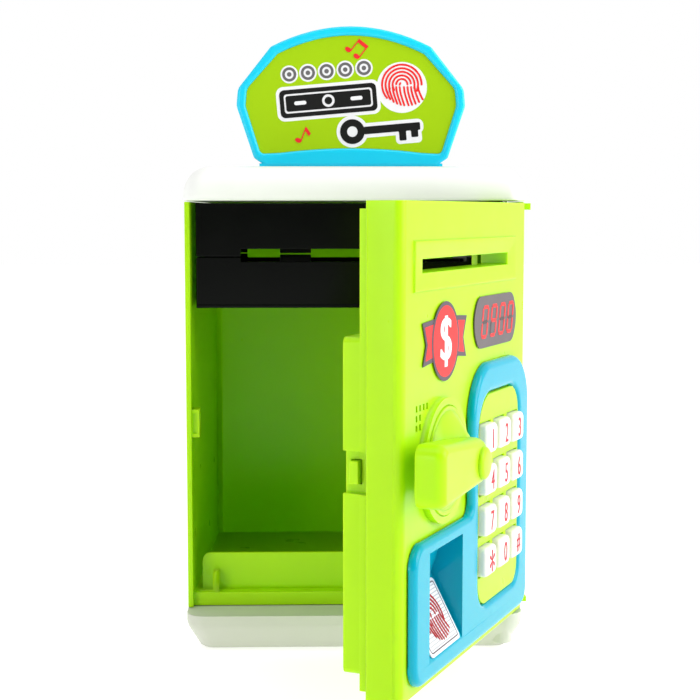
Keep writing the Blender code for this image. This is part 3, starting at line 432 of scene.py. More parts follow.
def to_object(name, bm, material, matrix=Matrix.Identity(4), sharp=DRAWN_CREASE):
    """An object, in metres, of a bmesh drawn in millimetres and then moved by a matrix."""
    bmesh.ops.transform(bm, matrix=Matrix.Scale(MM, 4) @ matrix, verts=bm.verts)
    bmesh.ops.recalc_face_normals(bm, faces=bm.faces)
    mesh = bpy.data.meshes.new(name)
    bm.to_mesh(mesh)
    bm.free()
    mesh.materials.append(material)
    mesh.shade_smooth()
    mesh.set_sharp_from_angle(angle=math.radians(sharp))
    item = bpy.data.objects.new(name, mesh)
    bpy.context.scene.collection.objects.link(item)
    return item


VISIBLE_FOLD = 6 * MM ** 2
CREASE = 35                               # degrees: flatter edges are shaded smoothly and not rounded
# Shares of the bevel's full width, each with the shortest edge it rounds in millimetres
BEVEL_TRIES = [(1.0, 0), (1.0, 4), (1.0, 10), (1.0, 25), (0.6, 0), (0.6, 4), (0.6, 10), (0.6, 25), (0.3, 0),
               (0.3, 10), (0.12, 0)]


def folded(item):
    """Whether a face visibly overlaps itself: its triangles then cover more than its own area."""
    shown = item.evaluated_get(bpy.context.evaluated_depsgraph_get())
    mesh = shown.to_mesh()
    mesh.calc_loop_triangles()
    covered = [0.0] * len(mesh.polygons)
    for triangle in mesh.loop_triangles:
        covered[triangle.polygon_index] += triangle.area
    found = any(covered[face.index] > face.area + VISIBLE_FOLD for face in mesh.polygons)
    shown.to_mesh_clear()
    return found


def weigh_edges(mesh, shortest, angle):
    """Marks the sharp edges of at least a length for the bevel, and returns how many there are."""
    bm = bmesh.new()
    bm.from_mesh(mesh)
    layers = bm.edges.layers.float
    weight = layers.get("bevel_weight_edge") or layers.new("bevel_weight_edge")
    marked = 0
    for edge in bm.edges:
        sharp = len(edge.link_faces) == 2 and edge.calc_face_angle(0) > math.radians(angle)
        edge[weight] = float(sharp and edge.calc_length() >= shortest * MM)
        marked += edge[weight]
    bm.to_mesh(mesh)
    bm.free()
    return marked


def bevel(item, width, angle=CREASE):
    """Rounds an object's sharp edges: only the long ones, or less, where more would fold a face."""
    modifier = item.modifiers.new("rounded_edges", "BEVEL")
    modifier.segments = 3
    modifier.limit_method = "WEIGHT"
    modifier.use_clamp_overlap = False
    modifier.loop_slide = False
    for share, shortest in BEVEL_TRIES:
        modifier.width = width * share * MM
        if not weigh_edges(item.data, shortest, angle):
            break
        if not folded(item):
            return
    item.modifiers.remove(modifier)


def boolean(item, tool_bm, operation="DIFFERENCE", matrix=Matrix.Identity(4)):
    """Cuts or joins a bmesh drawn in millimetres, and applies the result."""
    tool = to_object("tool", tool_bm, item.data.materials[0], matrix)
    modifier = item.modifiers.new("tool", "BOOLEAN")
    modifier.operation = operation
    modifier.object = tool
    done = bpy.data.meshes.new_from_object(item.evaluated_get(bpy.context.evaluated_depsgraph_get()))
    item.modifiers.remove(modifier)
    item.data = done
    mesh = tool.data
    bpy.data.objects.remove(tool)
    bpy.data.meshes.remove(mesh)
    done.shade_smooth()
    done.set_sharp_from_angle(angle=math.radians(DRAWN_CREASE))


def belongs(item, body, slot, *nodes):
    """Says which body a piece moves with and which CAD nodes it stands for; its slot is not used.

    Its large flat faces keep their own normals beside small rounded ones.
    """
    modifier = item.modifiers.new("even_shading", "WEIGHTED_NORMAL")
    modifier.weight = 100
    modifier.keep_sharp = True
    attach(item, body)
    if nodes:
        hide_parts(*nodes)


def fine(node, material, body, slot, width):
    """A CAD node's own shape with clean faces, rounded edges and smooth shading."""
    bm = bmesh.new()
    bm.from_mesh(frame["nodes"][node].data)
    bmesh.ops.scale(bm, vec=(1 / MM,) * 3, verts=bm.verts)
    bmesh.ops.remove_doubles(bm, verts=bm.verts, dist=0.002)
    bmesh.ops.dissolve_limit(bm, angle_limit=math.radians(0.6), verts=bm.verts, edges=bm.edges)
    item = to_object(node + "_fine", bm, material, sharp=CREASE)
    if width:
        bevel(item, width)
    belongs(item, body, slot, node)


# ---------------------------------------------------------------- pieces that keep their CAD shape

def carried_over():
    """CAD shapes with their edges rounded: (node, material, body, slot, edge radius in mm)."""
    rows = [
        ("case_shell", GREEN, ROOT, "lime_plastic", 0.4),
        # the base tray and battery cover take the white plastic darkened as painted shade
        ("base_tray", WHITE_PAINTED_SHADE, ROOT, "white_plastic", 0.4),
        ("battery_cover", WHITE_PAINTED_SHADE, ROOT, "white_plastic", 0.3),
        ("feeder_lower_housing", BLACK, ROOT, "black_plastic", 0.3),
        ("feeder_upper_housing", BLACK, ROOT, "black_plastic", 0.3),
        ("feeder_motor", CAN, ROOT, "motor_case", 0.4),
        ("battery_contacts_left", NICKEL, ROOT, "nickel_contact", 0.1),
        ("battery_contacts_right", NICKEL, ROOT, "nickel_contact", 0.1),
        ("hinge_pin_top", STEEL, ROOT, "steel", 0.0),
        ("hinge_pin_bottom", STEEL, ROOT, "steel", 0.0),
        ("door_shell", GREEN, "door", "lime_plastic", 0.25),
        ("door_inner_cover", GREEN, "door", "lime_plastic", 0.4),
        ("keypad_membrane", RUBBER, "door", "rubber", 0.3),
        ("solenoid_coil", WINDING, "door", "coil_tape", 0.5),
        ("solenoid_plunger", STEEL, "plunger", "steel", 0.2),
        ("latch_bolt", GREEN, "bolt", "lime_plastic", 0.3),
        ("latch_crank", GEAR_WHITE, "handle", "gear_plastic", 0.2),
        ("drive_shaft", STEEL, "drive_rollers", "steel", 0.15),
        ("drive_gear", GEAR_WHITE, "drive_rollers", "gear_plastic", 0.0),
        ("pinch_shaft", STEEL, "pinch_rollers", "steel", 0.15),
        ("reduction_gear", GEAR_WHITE, "reduction", "gear_plastic", 0.0),
        ("motor_pinion", GEAR_WHITE, "pinion", "gear_plastic", 0.0),
    ]
    for side in ("left", "right"):
        rows.append((f"drive_roller_{side}", RUBBER, "drive_rollers", "rubber", 0.4))
        rows.append((f"pinch_roller_{side}", RUBBER, "pinch_rollers", "rubber", 0.4))
    for index in (1, 2, 3):
        rows.append((f"battery_cell_{index}", CELL, ROOT, "cell_jacket", 0.4))
    for node, material, body, slot, width in rows:
        fine(node, material, body, slot, width)


# ---------------------------------------------------------------- roof and sign

def plan(inset):
    """The bank's footprint, drawn in by an inset."""
    radius = max(CORNER - inset / 2, 1.5)
    return rounded_box(-HALF_W + inset, HALF_W - inset, -HALF_D + inset, HALF_D - inset, radius, 10)


COIN_SLOT = ((-16, 27.6, 170), (16, 32.4, 182))
SHOULDER_STEPS = 14


def roof():
    """The white roof: a straight rim, a quarter ellipse and a slightly crowned top with the coin slot."""
    sections = [(plan(0.6), ROOF_Z), (plan(0.15), ROOF_Z + 0.25), (plan(0), ROOF_Z + 0.7),
                (plan(0), ROOF_RIM_Z)]
    for step in range(1, SHOULDER_STEPS + 1):
        angle = math.radians(90 * step / SHOULDER_STEPS)
        inset = ROOF_SHOULDER * (1 - math.cos(angle))
        sections.append((plan(inset), ROOF_RIM_Z + ROOF_RISE * math.sin(angle)))
    for inset, level in ((14, 178.55), (24, 178.9), (34, 179.25), (44, 179.5), (54, 179.6)):
        sections.append((plan(inset), level))
    item = to_object("roof_cover_fine", loft(sections), WHITE)
    boolean(item, brick(*COIN_SLOT))
    belongs(item, ROOT, "white_plastic", "roof_cover")


CROWN_STEPS = 16


def sign_outline(inset, foot=0.0):
    """The sign's shield in two runs, drawn in by an inset: the crown with the left side, and the right side.

    The crown is an arc with sloping shoulders, the sides taper, and foot lifts their lower ends.
    """
    half = 31.8 - inset * 0.75
    sag = 8.0 - inset * 0.2
    top = []
    for step in range(CROWN_STEPS + 1):
        x = half - 2 * half * step / CROWN_STEPS
        top.append((x, SIGN_TOP_Z - inset - sag * (x / half) ** 2))
    side = [(-44.9 + inset, 210.6, 5), (-45.5 + inset, 203.8, 5), (-38.7 + inset * 0.75, 183.4 + foot, 2)]
    corners = [(x, z, 0) for x, z in top[1:-1]]
    corners = [(half, top[0][1], 3)] + corners + [(-half, top[0][1], 3)] + side
    return corners, [(-x, z, r) for x, z, r in reversed(side)]


def sign():
    """Cyan frame with a printed card set into its front."""
    upper, right = sign_outline(0)
    outer = rounded(upper + [(-33.9, 180.1, 2), (33.9, 180.1, 2)] + right, 4)
    upper, right = sign_outline(3.6, 1.6)
    arch = [(x, 187.2 - 2.9 * (x / 35.6) ** 2, 0) for x in np.linspace(-28, 28, 13)]
    inner = rounded(upper + arch + right, 4)
    rim = slab([outer, inner], -3.0, 3.0, 1.2)
    upper, right = sign_outline(3.3, 1.4)
    lowered_arch = [(x, z - 0.3, 0) for x, z, _ in arch]
    back = slab([rounded(upper + lowered_arch + right, 4)], -2.4, 1.4, 0.3)
    tab = brick((-28, 174.9, -2.0), (28, 181.5, 2.0))
    bar = brick((-36.5, 179.2, -2.6), (36.5, 181.2, 2.6))
    item = to_object("sign_frame_fine", merged(rim, back, merged(tab, bar)), BLUE, FACING)
    belongs(item, ROOT, "cyan_plastic", "sign_frame")
    card = slab([inner], 1.3, CARD_FRONT, 0.1)
    belongs(to_object("sign_panel_fine", card, CARD, FACING), ROOT, "sign_print", "sign_panel")
    sign_art()


HAIR = 0.0015                             # between one printed shape's face and the next


def stroke(path, width, round_ends=True):
    """The outline of a line of a given width along a path."""
    points = [Vector(p) for p in path]
    left, right = [], []
    for i, point in enumerate(points):
        ahead = (points[min(i + 1, len(points) - 1)] - points[max(i - 1, 0)]).normalized()
        across = Vector((-ahead.y, ahead.x)) * (width / 2)
        left.append(tuple(point + across))
        right.append(tuple(point - across))
    if not round_ends:
        return left + right[::-1]
    end = points[-1] - points[-2]
    start = points[1] - points[0]
    tip = math.degrees(math.atan2(end.y, end.x))
    tail = math.degrees(math.atan2(start.y, start.x))
    return (left + arc(points[-1], width / 2, tip + 60, tip - 60, 4)
            + right[::-1] + arc(points[0], width / 2, tail - 120, tail - 240, 4))


def print_layer(name, outlines, level, material, body, slot, matrix=FACING, thick=0.05, nodes=(), holes=()):
    """Ink: flat outlines a few hundredths of a millimetre thick, standing on a level of the picture.

    holes are pairs of an outline and the hole in it. Each shape is a hair thicker than the one before, so
    that no two faces coincide where shapes overlap.
    """
    shapes = [[outline] for outline in outlines] + [list(pair) for pair in holes]
    parts = [slab(shape, level, level + thick + HAIR * index) for index, shape in enumerate(shapes)]
    belongs(to_object(name, merged(*parts), material, matrix), body, slot, *nodes)


def fingerprint_lines(centre, size, width):
    """Nested ridges, as on a fingertip: loops round a core, broken here and there, that run out below."""
    pitch = width * 1.8
    made = []
    for ring in range(int(size / pitch)):
        reach = pitch * (ring + 0.6)
        first = 4 - 7 * ring % 30
        last = 196 + 11 * ring % 28
        gap_at = (40 + 67 * ring) % 170
        breaks = [first, gap_at, gap_at + 75, last]
        middle = (centre[0], centre[1] + size * 0.12)
        for start, stop in zip(breaks, breaks[1:]):
            gap = math.degrees(0.32 * width / reach)
            if stop - start < 4 * gap + 8:
                continue
            made.append(stroke(arc(middle, (reach, reach), start + gap, stop - gap, 14), width))
        for side in (-1, 1):
            foot = middle[1] - math.sqrt(max(size ** 2 - reach ** 2, 0.5)) * 0.86
            curve = []
            for share, bend in ((0.06, 0), (0.3, 0.25), (0.55, 0.8), (0.8, 1.5), (1.0, 2.1)):
                x = centre[0] + side * reach + size * 0.10 * bend
                curve.append((x, middle[1] - width * 0.6 + (foot - middle[1]) * share))
            if ring < size / pitch - 1.5:
                made.append(stroke(curve, width))
    return made


NOTE_SCALE = 0.82


def note_shape(shift, turn, beamed):
    """A music note, or two joined by a beam."""
    head = arc((0, 0), (1.6, 1.15), 0, 340, 17)
    shapes = [head, stroke([(1.35, 0.2), (1.35, 7.2)], 0.55, False)]
    if beamed:
        shapes += [moved(head, (5.2, 0)), stroke([(6.55, 0.2), (6.55, 7.2)], 0.55, False)]
        shapes.append([(1.1, 5.6), (6.8, 5.6), (6.8, 7.4), (1.1, 7.4)])
    else:
        shapes.append([(1.1, 7.3), (1.6, 7.3), (4.6, 5.2), (4.2, 3.6), (1.6, 5.4)])
    return [moved(shape, shift, turn, NOTE_SCALE) for shape in shapes]


def sign_art():
    """A generic picture for the card: a banknote, a key, coins, a fingerprint disc and two music notes."""
    level = CARD_FRONT
    tilt = 5
    note_at = (-9.0, 206.0)
    key_at = (10.0, 194.6)
    disc_at = (20.2, 211.2)
    coins = [(-24.5 + 7.4 * i, 216.2 + 0.65 * i) for i in range(5)]

    def on_note(shape):
        return moved(shape, note_at, tilt)

    def on_key(shape):
        return moved(shape, key_at, tilt)

    white = [on_note(rounded_box(-20.6, 20.6, -6.8, 6.8, 3.0)), on_key(circle((-9.5, 0), 6.3)),
             on_key(rounded_box(-7, 18.9, -2.9, 2.9, 2.4)), on_key(rounded_box(7.6, 18.0, -6.5, 0, 1.6)),
             circle(disc_at, 10.0, 64)] + [circle(at, 3.5, 32) for at in coins]
    print_layer("sign_art_white", white, level, STICKER, ROOT, "sign_print")
    level += 0.08                         # the rest lies on the white shapes
    teeth = [(17.6, 1.5), (17.6, -1.5), (16.6, -1.5), (16.6, -4.2), (13.8, -4.2), (13.8, -1.5), (11.8, -1.5),
             (11.8, -5.2), (9.0, -5.2), (9.0, -1.5), (-4.9, -1.5), (-4.9, 1.5)]
    shank = on_key(rounded([(x, y, 0.45) for x, y in teeth], 4))
    bow = (on_key(circle((-9.5, 0), 4.9)), on_key(circle((-9.5, 0), 2.1)))
    border = (on_note(rounded_box(-19.3, 19.3, -5.5, 5.5, 2.0)),
              on_note(rounded_box(-17.6, 17.6, -3.8, 3.8, 1.2)))
    face = (on_note(rounded_box(-16.9, 16.9, -3.1, 3.1, 0.9)), on_note(circle((0, 0), 2.5)))
    print_layer("sign_art_black", [shank, on_note(circle((0, 0), 1.5))], level, BLACK_INK, ROOT, "sign_print",
                holes=[bow, border, face])
    marks = [on_note(rounded_box(side * 11.2 - 2.4, side * 11.2 + 2.4, -0.75, 0.75, 0.7)) for side in (-1, 1)]
    print_layer("sign_art_note_marks", marks, level + 0.07, STICKER, ROOT, "sign_print")
    rims = [(circle(at, 2.8, 32), circle(at, 1.75, 32)) for at in coins]
    dots = [circle(at, 0.9, 20) for at in coins]
    print_layer("sign_art_grey", dots, level, GREY_INK, ROOT, "sign_print", holes=rims)
    red = fingerprint_lines(disc_at, 8.9, 0.78)
    red += note_shape((-1.2, 226.0), -38, True) + note_shape((-21.0, 190.3), -20, False)
    print_layer("sign_art_red", red, level, RED_INK, ROOT, "sign_print")


# ---------------------------------------------------------------- door furniture

def on_door(u, h, v=0.0):
    """Where a picture's origin goes: a point of the door's face, opened with the door."""
    return OPENED @ Matrix.Translation((door_x(u), door_y(v), door_z(h))) @ FACING


def bezel():
    """The cyan surround: rounded rim, keypad window and the deep fingerprint recess."""
    corners = [(4.4, 3.5, 7), (119.9, 3.5, 8), (119.9, 48.2, 8),
               (66.4, 48.2, 3.4), (66.4, 97.6, 19), (4.4, 97.6, 18)]
    outer = rounded([(-u, h, r) for u, h, r in corners], 10)
    hole = rounded([(-15.8, 14.4, 7), (-60.3, 14.4, 9), (-60.3, 87.2, 13), (-15.8, 87.2, 10)], 10)
    face = placed(domed([outer, hole], 2.7, 2.1), Matrix.Translation((0, 0, 0.3)))
    # the bezel takes the cyan darkened as painted shade
    item = to_object("keypad_bezel_fine", face, BLUE_PAINTED_SHADE, on_door(0, 0))
    u0, u1, low, high = WINDOW
    deep_v, deep_h = RECESS_DEEPEST
    skin = 1.4
    pocket = [(0.5, low - skin), (0.5, high + skin), (-4.6, high + skin), (-deep_v - 1.6, deep_h)]
    inside = [(4.0, low - 1.9), (4.0, high), (-3.4, high), (-deep_v, deep_h)]

    def across(profile, near, far):
        """A profile of (out, up) points, drawn from one u to another."""
        bm = slab([[(h, out) for out, h in profile]], -far, -near)
        return placed(bm, Matrix(((0, 0, 1, 0), (1, 0, 0, 0), (0, 1, 0, 0), (0, 0, 0, 1))))

    boolean(item, across(pocket, u0 - skin, u1 + skin), "UNION", on_door(0, 0))
    boolean(item, across(inside, u0, u1), "DIFFERENCE", on_door(0, 0))
    bevel(item, 0.5, 50)
    belongs(item, "door", "cyan_plastic", "keypad_bezel")


def fingerprint_label():
    """The sticker on the recess's slope: white, a thin dark frame, pale lines and a red print."""
    deep_v, deep_h = RECESS_DEEPEST
    slope = Vector((-3.0 - deep_v, WINDOW[2] - deep_h))
    length = slope.length
    lean = math.atan2(-slope.x, -slope.y)
    middle = Vector((deep_v, deep_h)) + slope * 0.515
    place = on_door(92.6, middle.y, middle.x) @ Matrix.Rotation(-lean, 4, "X")
    wide, tall = 13.15, length * 0.455
    card = rounded_box(-wide, wide, -tall, tall, 1.6)
    item = to_object("fingerprint_label_fine", slab([card], 0.3, DOOR_LABEL_TOP, 0.05), STICKER, place)
    belongs(item, "door", "label_print", "fingerprint_label")
    frame_out = rounded_box(-wide + 1.0, wide - 1.0, -tall + 1.0, tall - 1.0, 1.1)
    frame_in = rounded_box(-wide + 1.4, wide - 1.4, -tall + 1.4, tall - 1.4, 0.8)
    print_layer("fingerprint_label_frame", [], DOOR_LABEL_TOP, VIOLET_INK, "door", "label_print", place,
                holes=[(frame_out, frame_in)])
    end = wide - 1.9
    half_line = 0.2
    rows = [[(-end, y - half_line), (end, y - half_line), (end, y + half_line), (-end, y + half_line)]
            for y in np.arange(-tall + 2.0, tall - 1.6, 1.15)]
    print_layer("fingerprint_label_lines", rows, DOOR_LABEL_TOP, PALE_INK, "door", "label_print", place)
    ridges = fingerprint_lines((0, -0.8), 8.8, 0.93)
    print_layer("fingerprint_label_print", ridges, DOOR_LABEL_TOP + 0.07, DARK_RED_INK, "door", "label_print",
                place)


def emblem():
    """A coin disc on a ribbon, outlined in violet grey."""
    place = on_door(*EMBLEM)
    tail = [(9, 7.6), (20.4, 6.9), (17.2, 0), (20.0, -6.5), (9, -5.4)]
    ribbon = tail + [(-x, y) for x, y in reversed(tail)]
    fill_tail = [(9, 6.1), (18.3, 5.5), (15.9, 0), (17.9, -4.9), (9, -3.9)]
    fills = [fill_tail, [(-x, y) for x, y in reversed(fill_tail)]]
    disc, field = circle((0, 0), 12.6, 72), circle((0, 0), 11.3, 72)
    print_layer("emblem_ribbon", [ribbon], 0.30, VIOLET_INK, "door", "emblem_print", place, 0.2)
    print_layer("emblem_ribbon_fill", fills, 0.5, RED_INK, "door", "emblem_print", place)
    print_layer("emblem_outline", [disc], 0.56, VIOLET_INK, "door", "emblem_print", place, 0.06,
                ("emblem_label",))
    print_layer("emblem_disc", [field], 0.62, RED_INK, "door", "emblem_print", place)
    lettering("emblem_sign", "$", 20.0, 0.69, STICKER, place, "emblem_print", "door", 1.05, 0.42)


def lettering(name, character, size, level, material, place, slot, body, wide, thicken):
    """One printed character, centred on a place, stretched sideways by wide and made bolder by thicken."""
    text = bpy.data.curves.new(name, "FONT")
    text.body = character
    text.size = size
    text.align_x = "CENTER"
    half_thick = 0.03
    text.extrude = half_thick
    text.resolution_u = 6
    thin = from_curve(text)
    copies = []
    for side in (-1, 0, 1):
        copies.append(placed(thin.copy(), Matrix.Translation((side * thicken, 0, side * 0.008))))
    thin.free()
    bm = merged(*copies)
    xs = [v.co.x for v in bm.verts]
    ys = [v.co.y for v in bm.verts]
    middle = ((min(xs) + max(xs)) / 2, (min(ys) + max(ys)) / 2)
    bmesh.ops.translate(bm, vec=(-middle[0], -middle[1], 0), verts=bm.verts)
    bmesh.ops.scale(bm, vec=(wide, 1, 1), verts=bm.verts)
    bmesh.ops.translate(bm, vec=(0, 0, level + half_thick), verts=bm.verts)
    belongs(to_object(name, bm, material, place), body, slot)


# A seven-segment digit: each bar's ends, on a grid of half widths and half heights, and the bars that are lit
SEGMENTS = {
    "a": ((-1, 2), (1, 2)), "b": ((1, 2), (1, 0)), "c": ((1, 0), (1, -2)), "d": ((-1, -2), (1, -2)),
    "e": ((-1, 0), (-1, -2)), "f": ((-1, 2), (-1, 0)), "g": ((-1, 0), (1, 0)),
}
LIT = {"0": "abcdef", "9": "abcdfg"}
DIGIT_START = -12.1
DIGIT_PITCH = 9.35


def display():
    """The printed display: a grey badge with slanting seven-segment digits."""
    place = on_door(*DISPLAY)
    badge = [(-19.0, -8.8, 6), (19.0, -8.8, 6), (25.2, 0, 9), (19.0, 8.8, 6), (-19.0, 8.8, 6), (-25.2, 0, 9)]
    print_layer("display_badge", [rounded(badge, 8)], 0.3, BADGE_INK, "door", "display_print", place,
                DOOR_LABEL_TOP - 0.3, ("display_label",))
    lit, dim = [], []
    for index, digit in enumerate("0900"):
        x0 = DIGIT_START + DIGIT_PITCH * index
        for name, ends in SEGMENTS.items():
            a, b = (Vector((x * 2.75 + y * 0.6, y * 2.5)) for x, y in ends)
            ahead = (b - a).normalized()
            side = Vector((-ahead.y, ahead.x)) * 0.62
            a += ahead * 0.75
            b -= ahead * 0.75
            shape = [a - ahead * 0.55, a + side, b + side, b + ahead * 0.55, b - side, a - side]
            shape = [(p.x + x0, p.y) for p in shape]
            (lit if name in LIT[digit] else dim).append(shape)
    print_layer("display_digits", lit, DOOR_LABEL_TOP, RED_INK, "door", "display_print", place)
    print_layer("display_digits_dim", dim, DOOR_LABEL_TOP, DIM_RED_INK, "door", "display_print", place)


def keys():
    """Twelve white keys with round shoulders, flat tops and red characters."""
    names = ["1", "2", "3", "4", "5", "6", "7", "8", "9", "star", "0", "hash"]
    marks = {"star": "*", "hash": "#"}
    half_u, half_h = KEY_SIZE[0] / 2, KEY_SIZE[1] / 2
    flange_top = -2.2
    steps = [(0, flange_top), (0, 3.9), (0.12, 4.4), (0.42, 4.85), (0.85, 5.15), (1.4, 5.3), (2.2, KEY_TOP),
             (4.6, KEY_TOP)]
    for index, name in enumerate(names):
        row, column = divmod(index, 3)
        u = KEY_CENTRE[0] + (1 - column) * KEY_PITCH[0]
        h = KEY_CENTRE[1] + (1.5 - row) * KEY_PITCH[1]
        place = on_door(u, h)
        sections = []
        for inset, level in steps:
            x, y = half_u - inset, half_h - inset
            sections.append((rounded_box(-x, x, -y, y, max(1.9 - inset * 0.35, 0.3), 6), level))
        rim = rounded_box(-half_u - 1, half_u + 1, -half_h - 1, half_h + 1, 0.8)
        flange = slab([rim], flange_top - 1, flange_top)
        cap = to_object(f"key_{name}_cap", merged(loft(sections), flange), KEY_WHITE, place, 40)
        belongs(cap, f"key_{name}", "key_plastic", f"key_{name}")
        mark = marks.get(name, name)
        size = {"*": 17.0, "#": 9.4}.get(mark, 9.6)
        lettering(f"key_{name}_mark", mark, size, KEY_TOP + 0.06, KEY_INK, place, "key_plastic",
                  f"key_{name}", 0.76, 0.09)


def lever_outline(inset):
    """The lever seen from the front, drawn in by an inset: a round tip at the axis and a square far end."""
    tip = [(x, y, 0) for x, y in arc((0, 0.3), 7.6 - inset, 75, -75, 12)]
    radius = max(4.2 - inset, 0.8)
    end = -36.1 + inset
    return rounded(tip + [(end, -9.4 + inset, radius), (end, 10.6 - inset, radius)], 8)


def handle():
    """Dial with a four-sided cone, rounded lever and the boss on its axis, with the hub behind."""
    place = on_door(*HANDLE)
    dial = turned([(0, 2.5), (DIAL_R - 1.2, 2.5), (DIAL_R - 0.6, 2.7), (DIAL_R - 0.2, 2.6), (DIAL_R, 2.2),
                   (DIAL_R, 1.2), (0, 1.2)], 96)
    foot = circle((0, 0), DIAL_R - 1.4, 96)
    top = []
    turn = math.radians(22)
    for x, y in foot:
        angle = math.atan2(y, x)
        from_side = (angle - turn + math.pi / 4) % (math.pi / 2) - math.pi / 4
        reach = min(7.2 / math.cos(from_side), 8.5)
        top.append((reach * math.cos(angle), reach * math.sin(angle)))
    cone = loft([(foot, 1.8), (foot, 2.45), (top, 8.3)])
    steps = [(0.9, 4.8), (0.25, 5.05), (0, 5.7), (0, 10.9),
             (0.35, 12.3), (1.0, 13.3), (1.9, 14.0), (2.9, 14.3)]
    lever = loft([(lever_outline(inset), level) for inset, level in steps])
    boss = turned([(0, 15.8), (3.6, 15.8), (4.5, 15.55), (5.0, 15.1), (5.2, 14.5), (5.2, 13.6),
                   (0, 13.6)], 48)
    hub = turned([(0, 1.8), (4.8, 1.8), (4.8, -11.9), (0, -11.9)], 32)
    item = to_object("handle_fine", merged(dial, cone, lever, boss, hub), GREEN, place, 40)
    belongs(item, "handle", "lime_plastic", "handle_lever")


def screw(name, body, place, head_r, head_h, shaft_r, length, node):
    """A pan-head screw with a cross recess; its head's top is at z = 0 and its shaft points down."""
    head = turned([(0, 0), (head_r * 0.55, 0), (head_r * 0.85, -0.12 * head_h), (head_r, -0.5 * head_h),
                   (head_r, -head_h), (shaft_r, -head_h), (shaft_r, -length + shaft_r), (0, -length)], 32)
    item = to_object(name, head, STEEL, place)
    arm = head_r * 0.6
    half_slot = head_r * 0.16
    depth = -head_h * 0.6
    boolean(item, brick((-arm, -half_slot, depth), (arm, half_slot, 1)), "DIFFERENCE", place)
    boolean(item, brick((-half_slot, -arm, depth), (half_slot, arm, 1)), "DIFFERENCE", place)
    belongs(item, body, "steel", node)


def screws():
    """Screws under the base and in the door's inner cover."""
    upside_down = Matrix.Rotation(math.pi, 4, "X")
    for index in range(1, 5):
        low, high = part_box(f"base_screw_{index}")
        centre = (low + high) / 2 / MM
        place = Matrix.Translation((centre.x, centre.y, low.z / MM)) @ upside_down
        screw(f"base_screw_{index}_fine", ROOT, place, 2.5, 1.7, 1.2, 14.0, f"base_screw_{index}")
    low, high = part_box("battery_cover_screw")
    centre = (low + high) / 2 / MM
    place = Matrix.Translation((centre.x, centre.y, low.z / MM)) @ upside_down
    screw("battery_cover_screw_fine", ROOT, place, 2.3, 0.6, 1.1, 4.8, "battery_cover_screw")
    for index, (u, h) in enumerate(((15.5, 145.0), (115.5, 145.0), (15.5, 5.3), (115.5, 5.3)), 1):
        place = on_door(u, h, 14.2) @ Matrix.Rotation(math.pi, 4, "Y")
        screw(f"door_screw_{index}_fine", "door", place, 1.9, 1.1, 1.0, 8.7, f"door_screw_{index}")


def electronics():
    """The board with its components, and the speaker's cone, seen only with the door taken apart."""
    board = slab([rounded([(-64, 16, 1), (-13, 16, 1), (-13, 96, 1), (-64, 96, 1)], 4)], -8.2, -6.6)
    chips = [brick((-60, 70, -9.6), (-50, 84, -8.1)), brick((-44, 74, -9.2), (-38, 80, -8.1))]
    item = to_object("circuit_board_fine", board, BOARD, on_door(0, 0))
    belongs(item, "door", "circuit_board", "circuit_board")
    parts = to_object("circuit_board_chips", merged(*chips), BLACK, on_door(0, 0))
    bevel(parts, 0.2)
    belongs(parts, "door", "black_plastic")
    cone = [(0, -4.3), (2.6, -3.9), (4.4, -4.9), (6.2, -4.6), (9.6, -3.1), (10.6, -2.5), (11.2, -2.2),
            (12, -2.3), (12, -3.6), (10, -6.6), (6, -7.0), (6, -9.4), (0, -9.4)]
    item = to_object("speaker_fine", turned(cone, 64), BLACK, on_door(107.5, 93))
    belongs(item, "door", "black_plastic", "speaker")


carried_over()
roof()
sign()
bezel()
fingerprint_label()
emblem()
display()
keys()
handle()
screws()
electronics()

# ---------------------------------------------------------------- stage, light and camera


def stage():
    """A white floor that carries on past the view."""
    bpy.ops.mesh.primitive_plane_add(size=8)
    floor = bpy.context.object
    floor.name = "floor"
    made, shader, _, _ = new_material("studio_floor")
    shader.inputs["Base Color"].default_value = (0.8, 0.8, 0.8, 1)
    shader.inputs["Roughness"].default_value = 0.8
    shader.inputs["Emission Color"].default_value = (1, 1, 1, 1)
    shader.inputs["Emission Strength"].default_value = 0.5
    floor.data.materials.append(made)


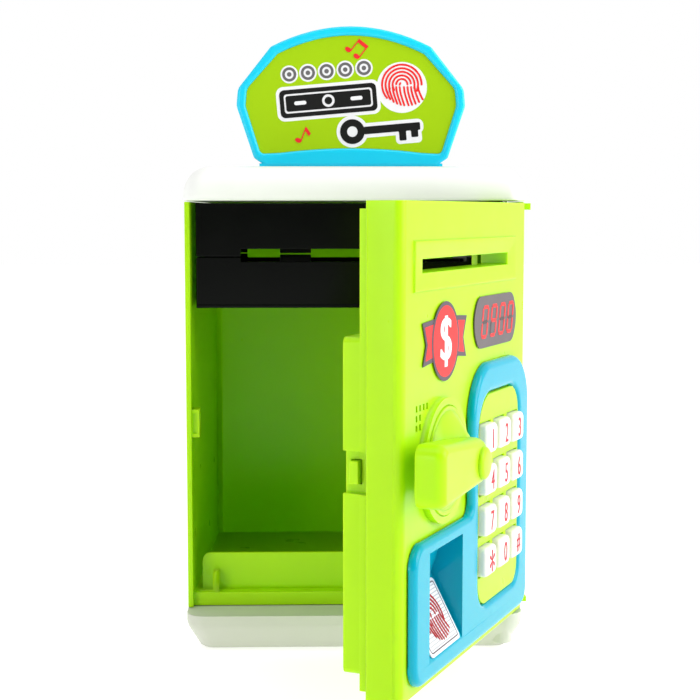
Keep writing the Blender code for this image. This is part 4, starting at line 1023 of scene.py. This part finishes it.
def area_light(name, place, target, size, power):
    """A softbox at a place, aimed at a target; metres and watts."""
    light = bpy.data.lights.new(name, "AREA")
    light.shape = "RECTANGLE"
    light.size, light.size_y = size
    light.energy = power
    item = bpy.data.objects.new(name, light)
    item.location = place
    item.rotation_euler = (Vector(target) - Vector(place)).to_track_quat("-Z", "Y").to_euler()
    bpy.context.scene.collection.objects.link(item)


def lighting():
    """A white studio: surroundings that are bright behind, three softboxes and a thin strip at the left."""
    world = bpy.data.worlds.new("studio")
    world.use_nodes = True
    tree = world.node_tree
    place = tree.nodes.new("ShaderNodeTexCoord")
    split = tree.nodes.new("ShaderNodeSeparateXYZ")
    # Brightness by direction: dim behind the camera, white behind the bank
    fade = tree.nodes.new("ShaderNodeMapRange")
    fade.inputs["From Min"].default_value = -0.85
    fade.inputs["From Max"].default_value = 0.25
    fade.inputs["To Min"].default_value = 0.08
    fade.inputs["To Max"].default_value = 1.0
    tree.links.new(place.outputs["Generated"], split.inputs["Vector"])
    tree.links.new(split.outputs["Y"], fade.inputs["Value"])
    tree.links.new(fade.outputs["Result"], tree.nodes["Background"].inputs["Strength"])
    tree.nodes["Background"].inputs["Color"].default_value = (1, 1, 1, 1)
    bpy.context.scene.world = world
    # name, place, target, size, power
    area_light("softbox_right", (1.1, -0.35, 0.6), (0, -0.05, 0.1), (0.9, 1.0), 14)
    area_light("softbox_above", (-0.1, -0.5, 1.5), (0, -0.05, 0.1), (1.3, 0.8), 7)
    area_light("softbox_front", (-0.75, -1.3, 0.3), (0, 0, 0.08), (0.6, 0.5), 3.1)
    area_light("strip_left", (-0.75, -0.95, 0.35), (0, -0.1, 0.1), (0.05, 0.7), 1.4)
    bpy.context.scene.view_settings.view_transform = "Standard"


def camera():
    """The camera stands in front, a little to the left of the middle and just above the handle."""
    lens = bpy.data.cameras.new("camera")
    lens.lens = 75.2
    lens.sensor_width = 36
    item = bpy.data.objects.new("camera", lens)
    item.location = (-0.01518, -0.5897, 0.16139)
    item.rotation_euler = (math.radians(84.66), 0, math.radians(-1.44))
    bpy.context.scene.collection.objects.link(item)
    bpy.context.scene.camera = item


stage()
lighting()
camera()
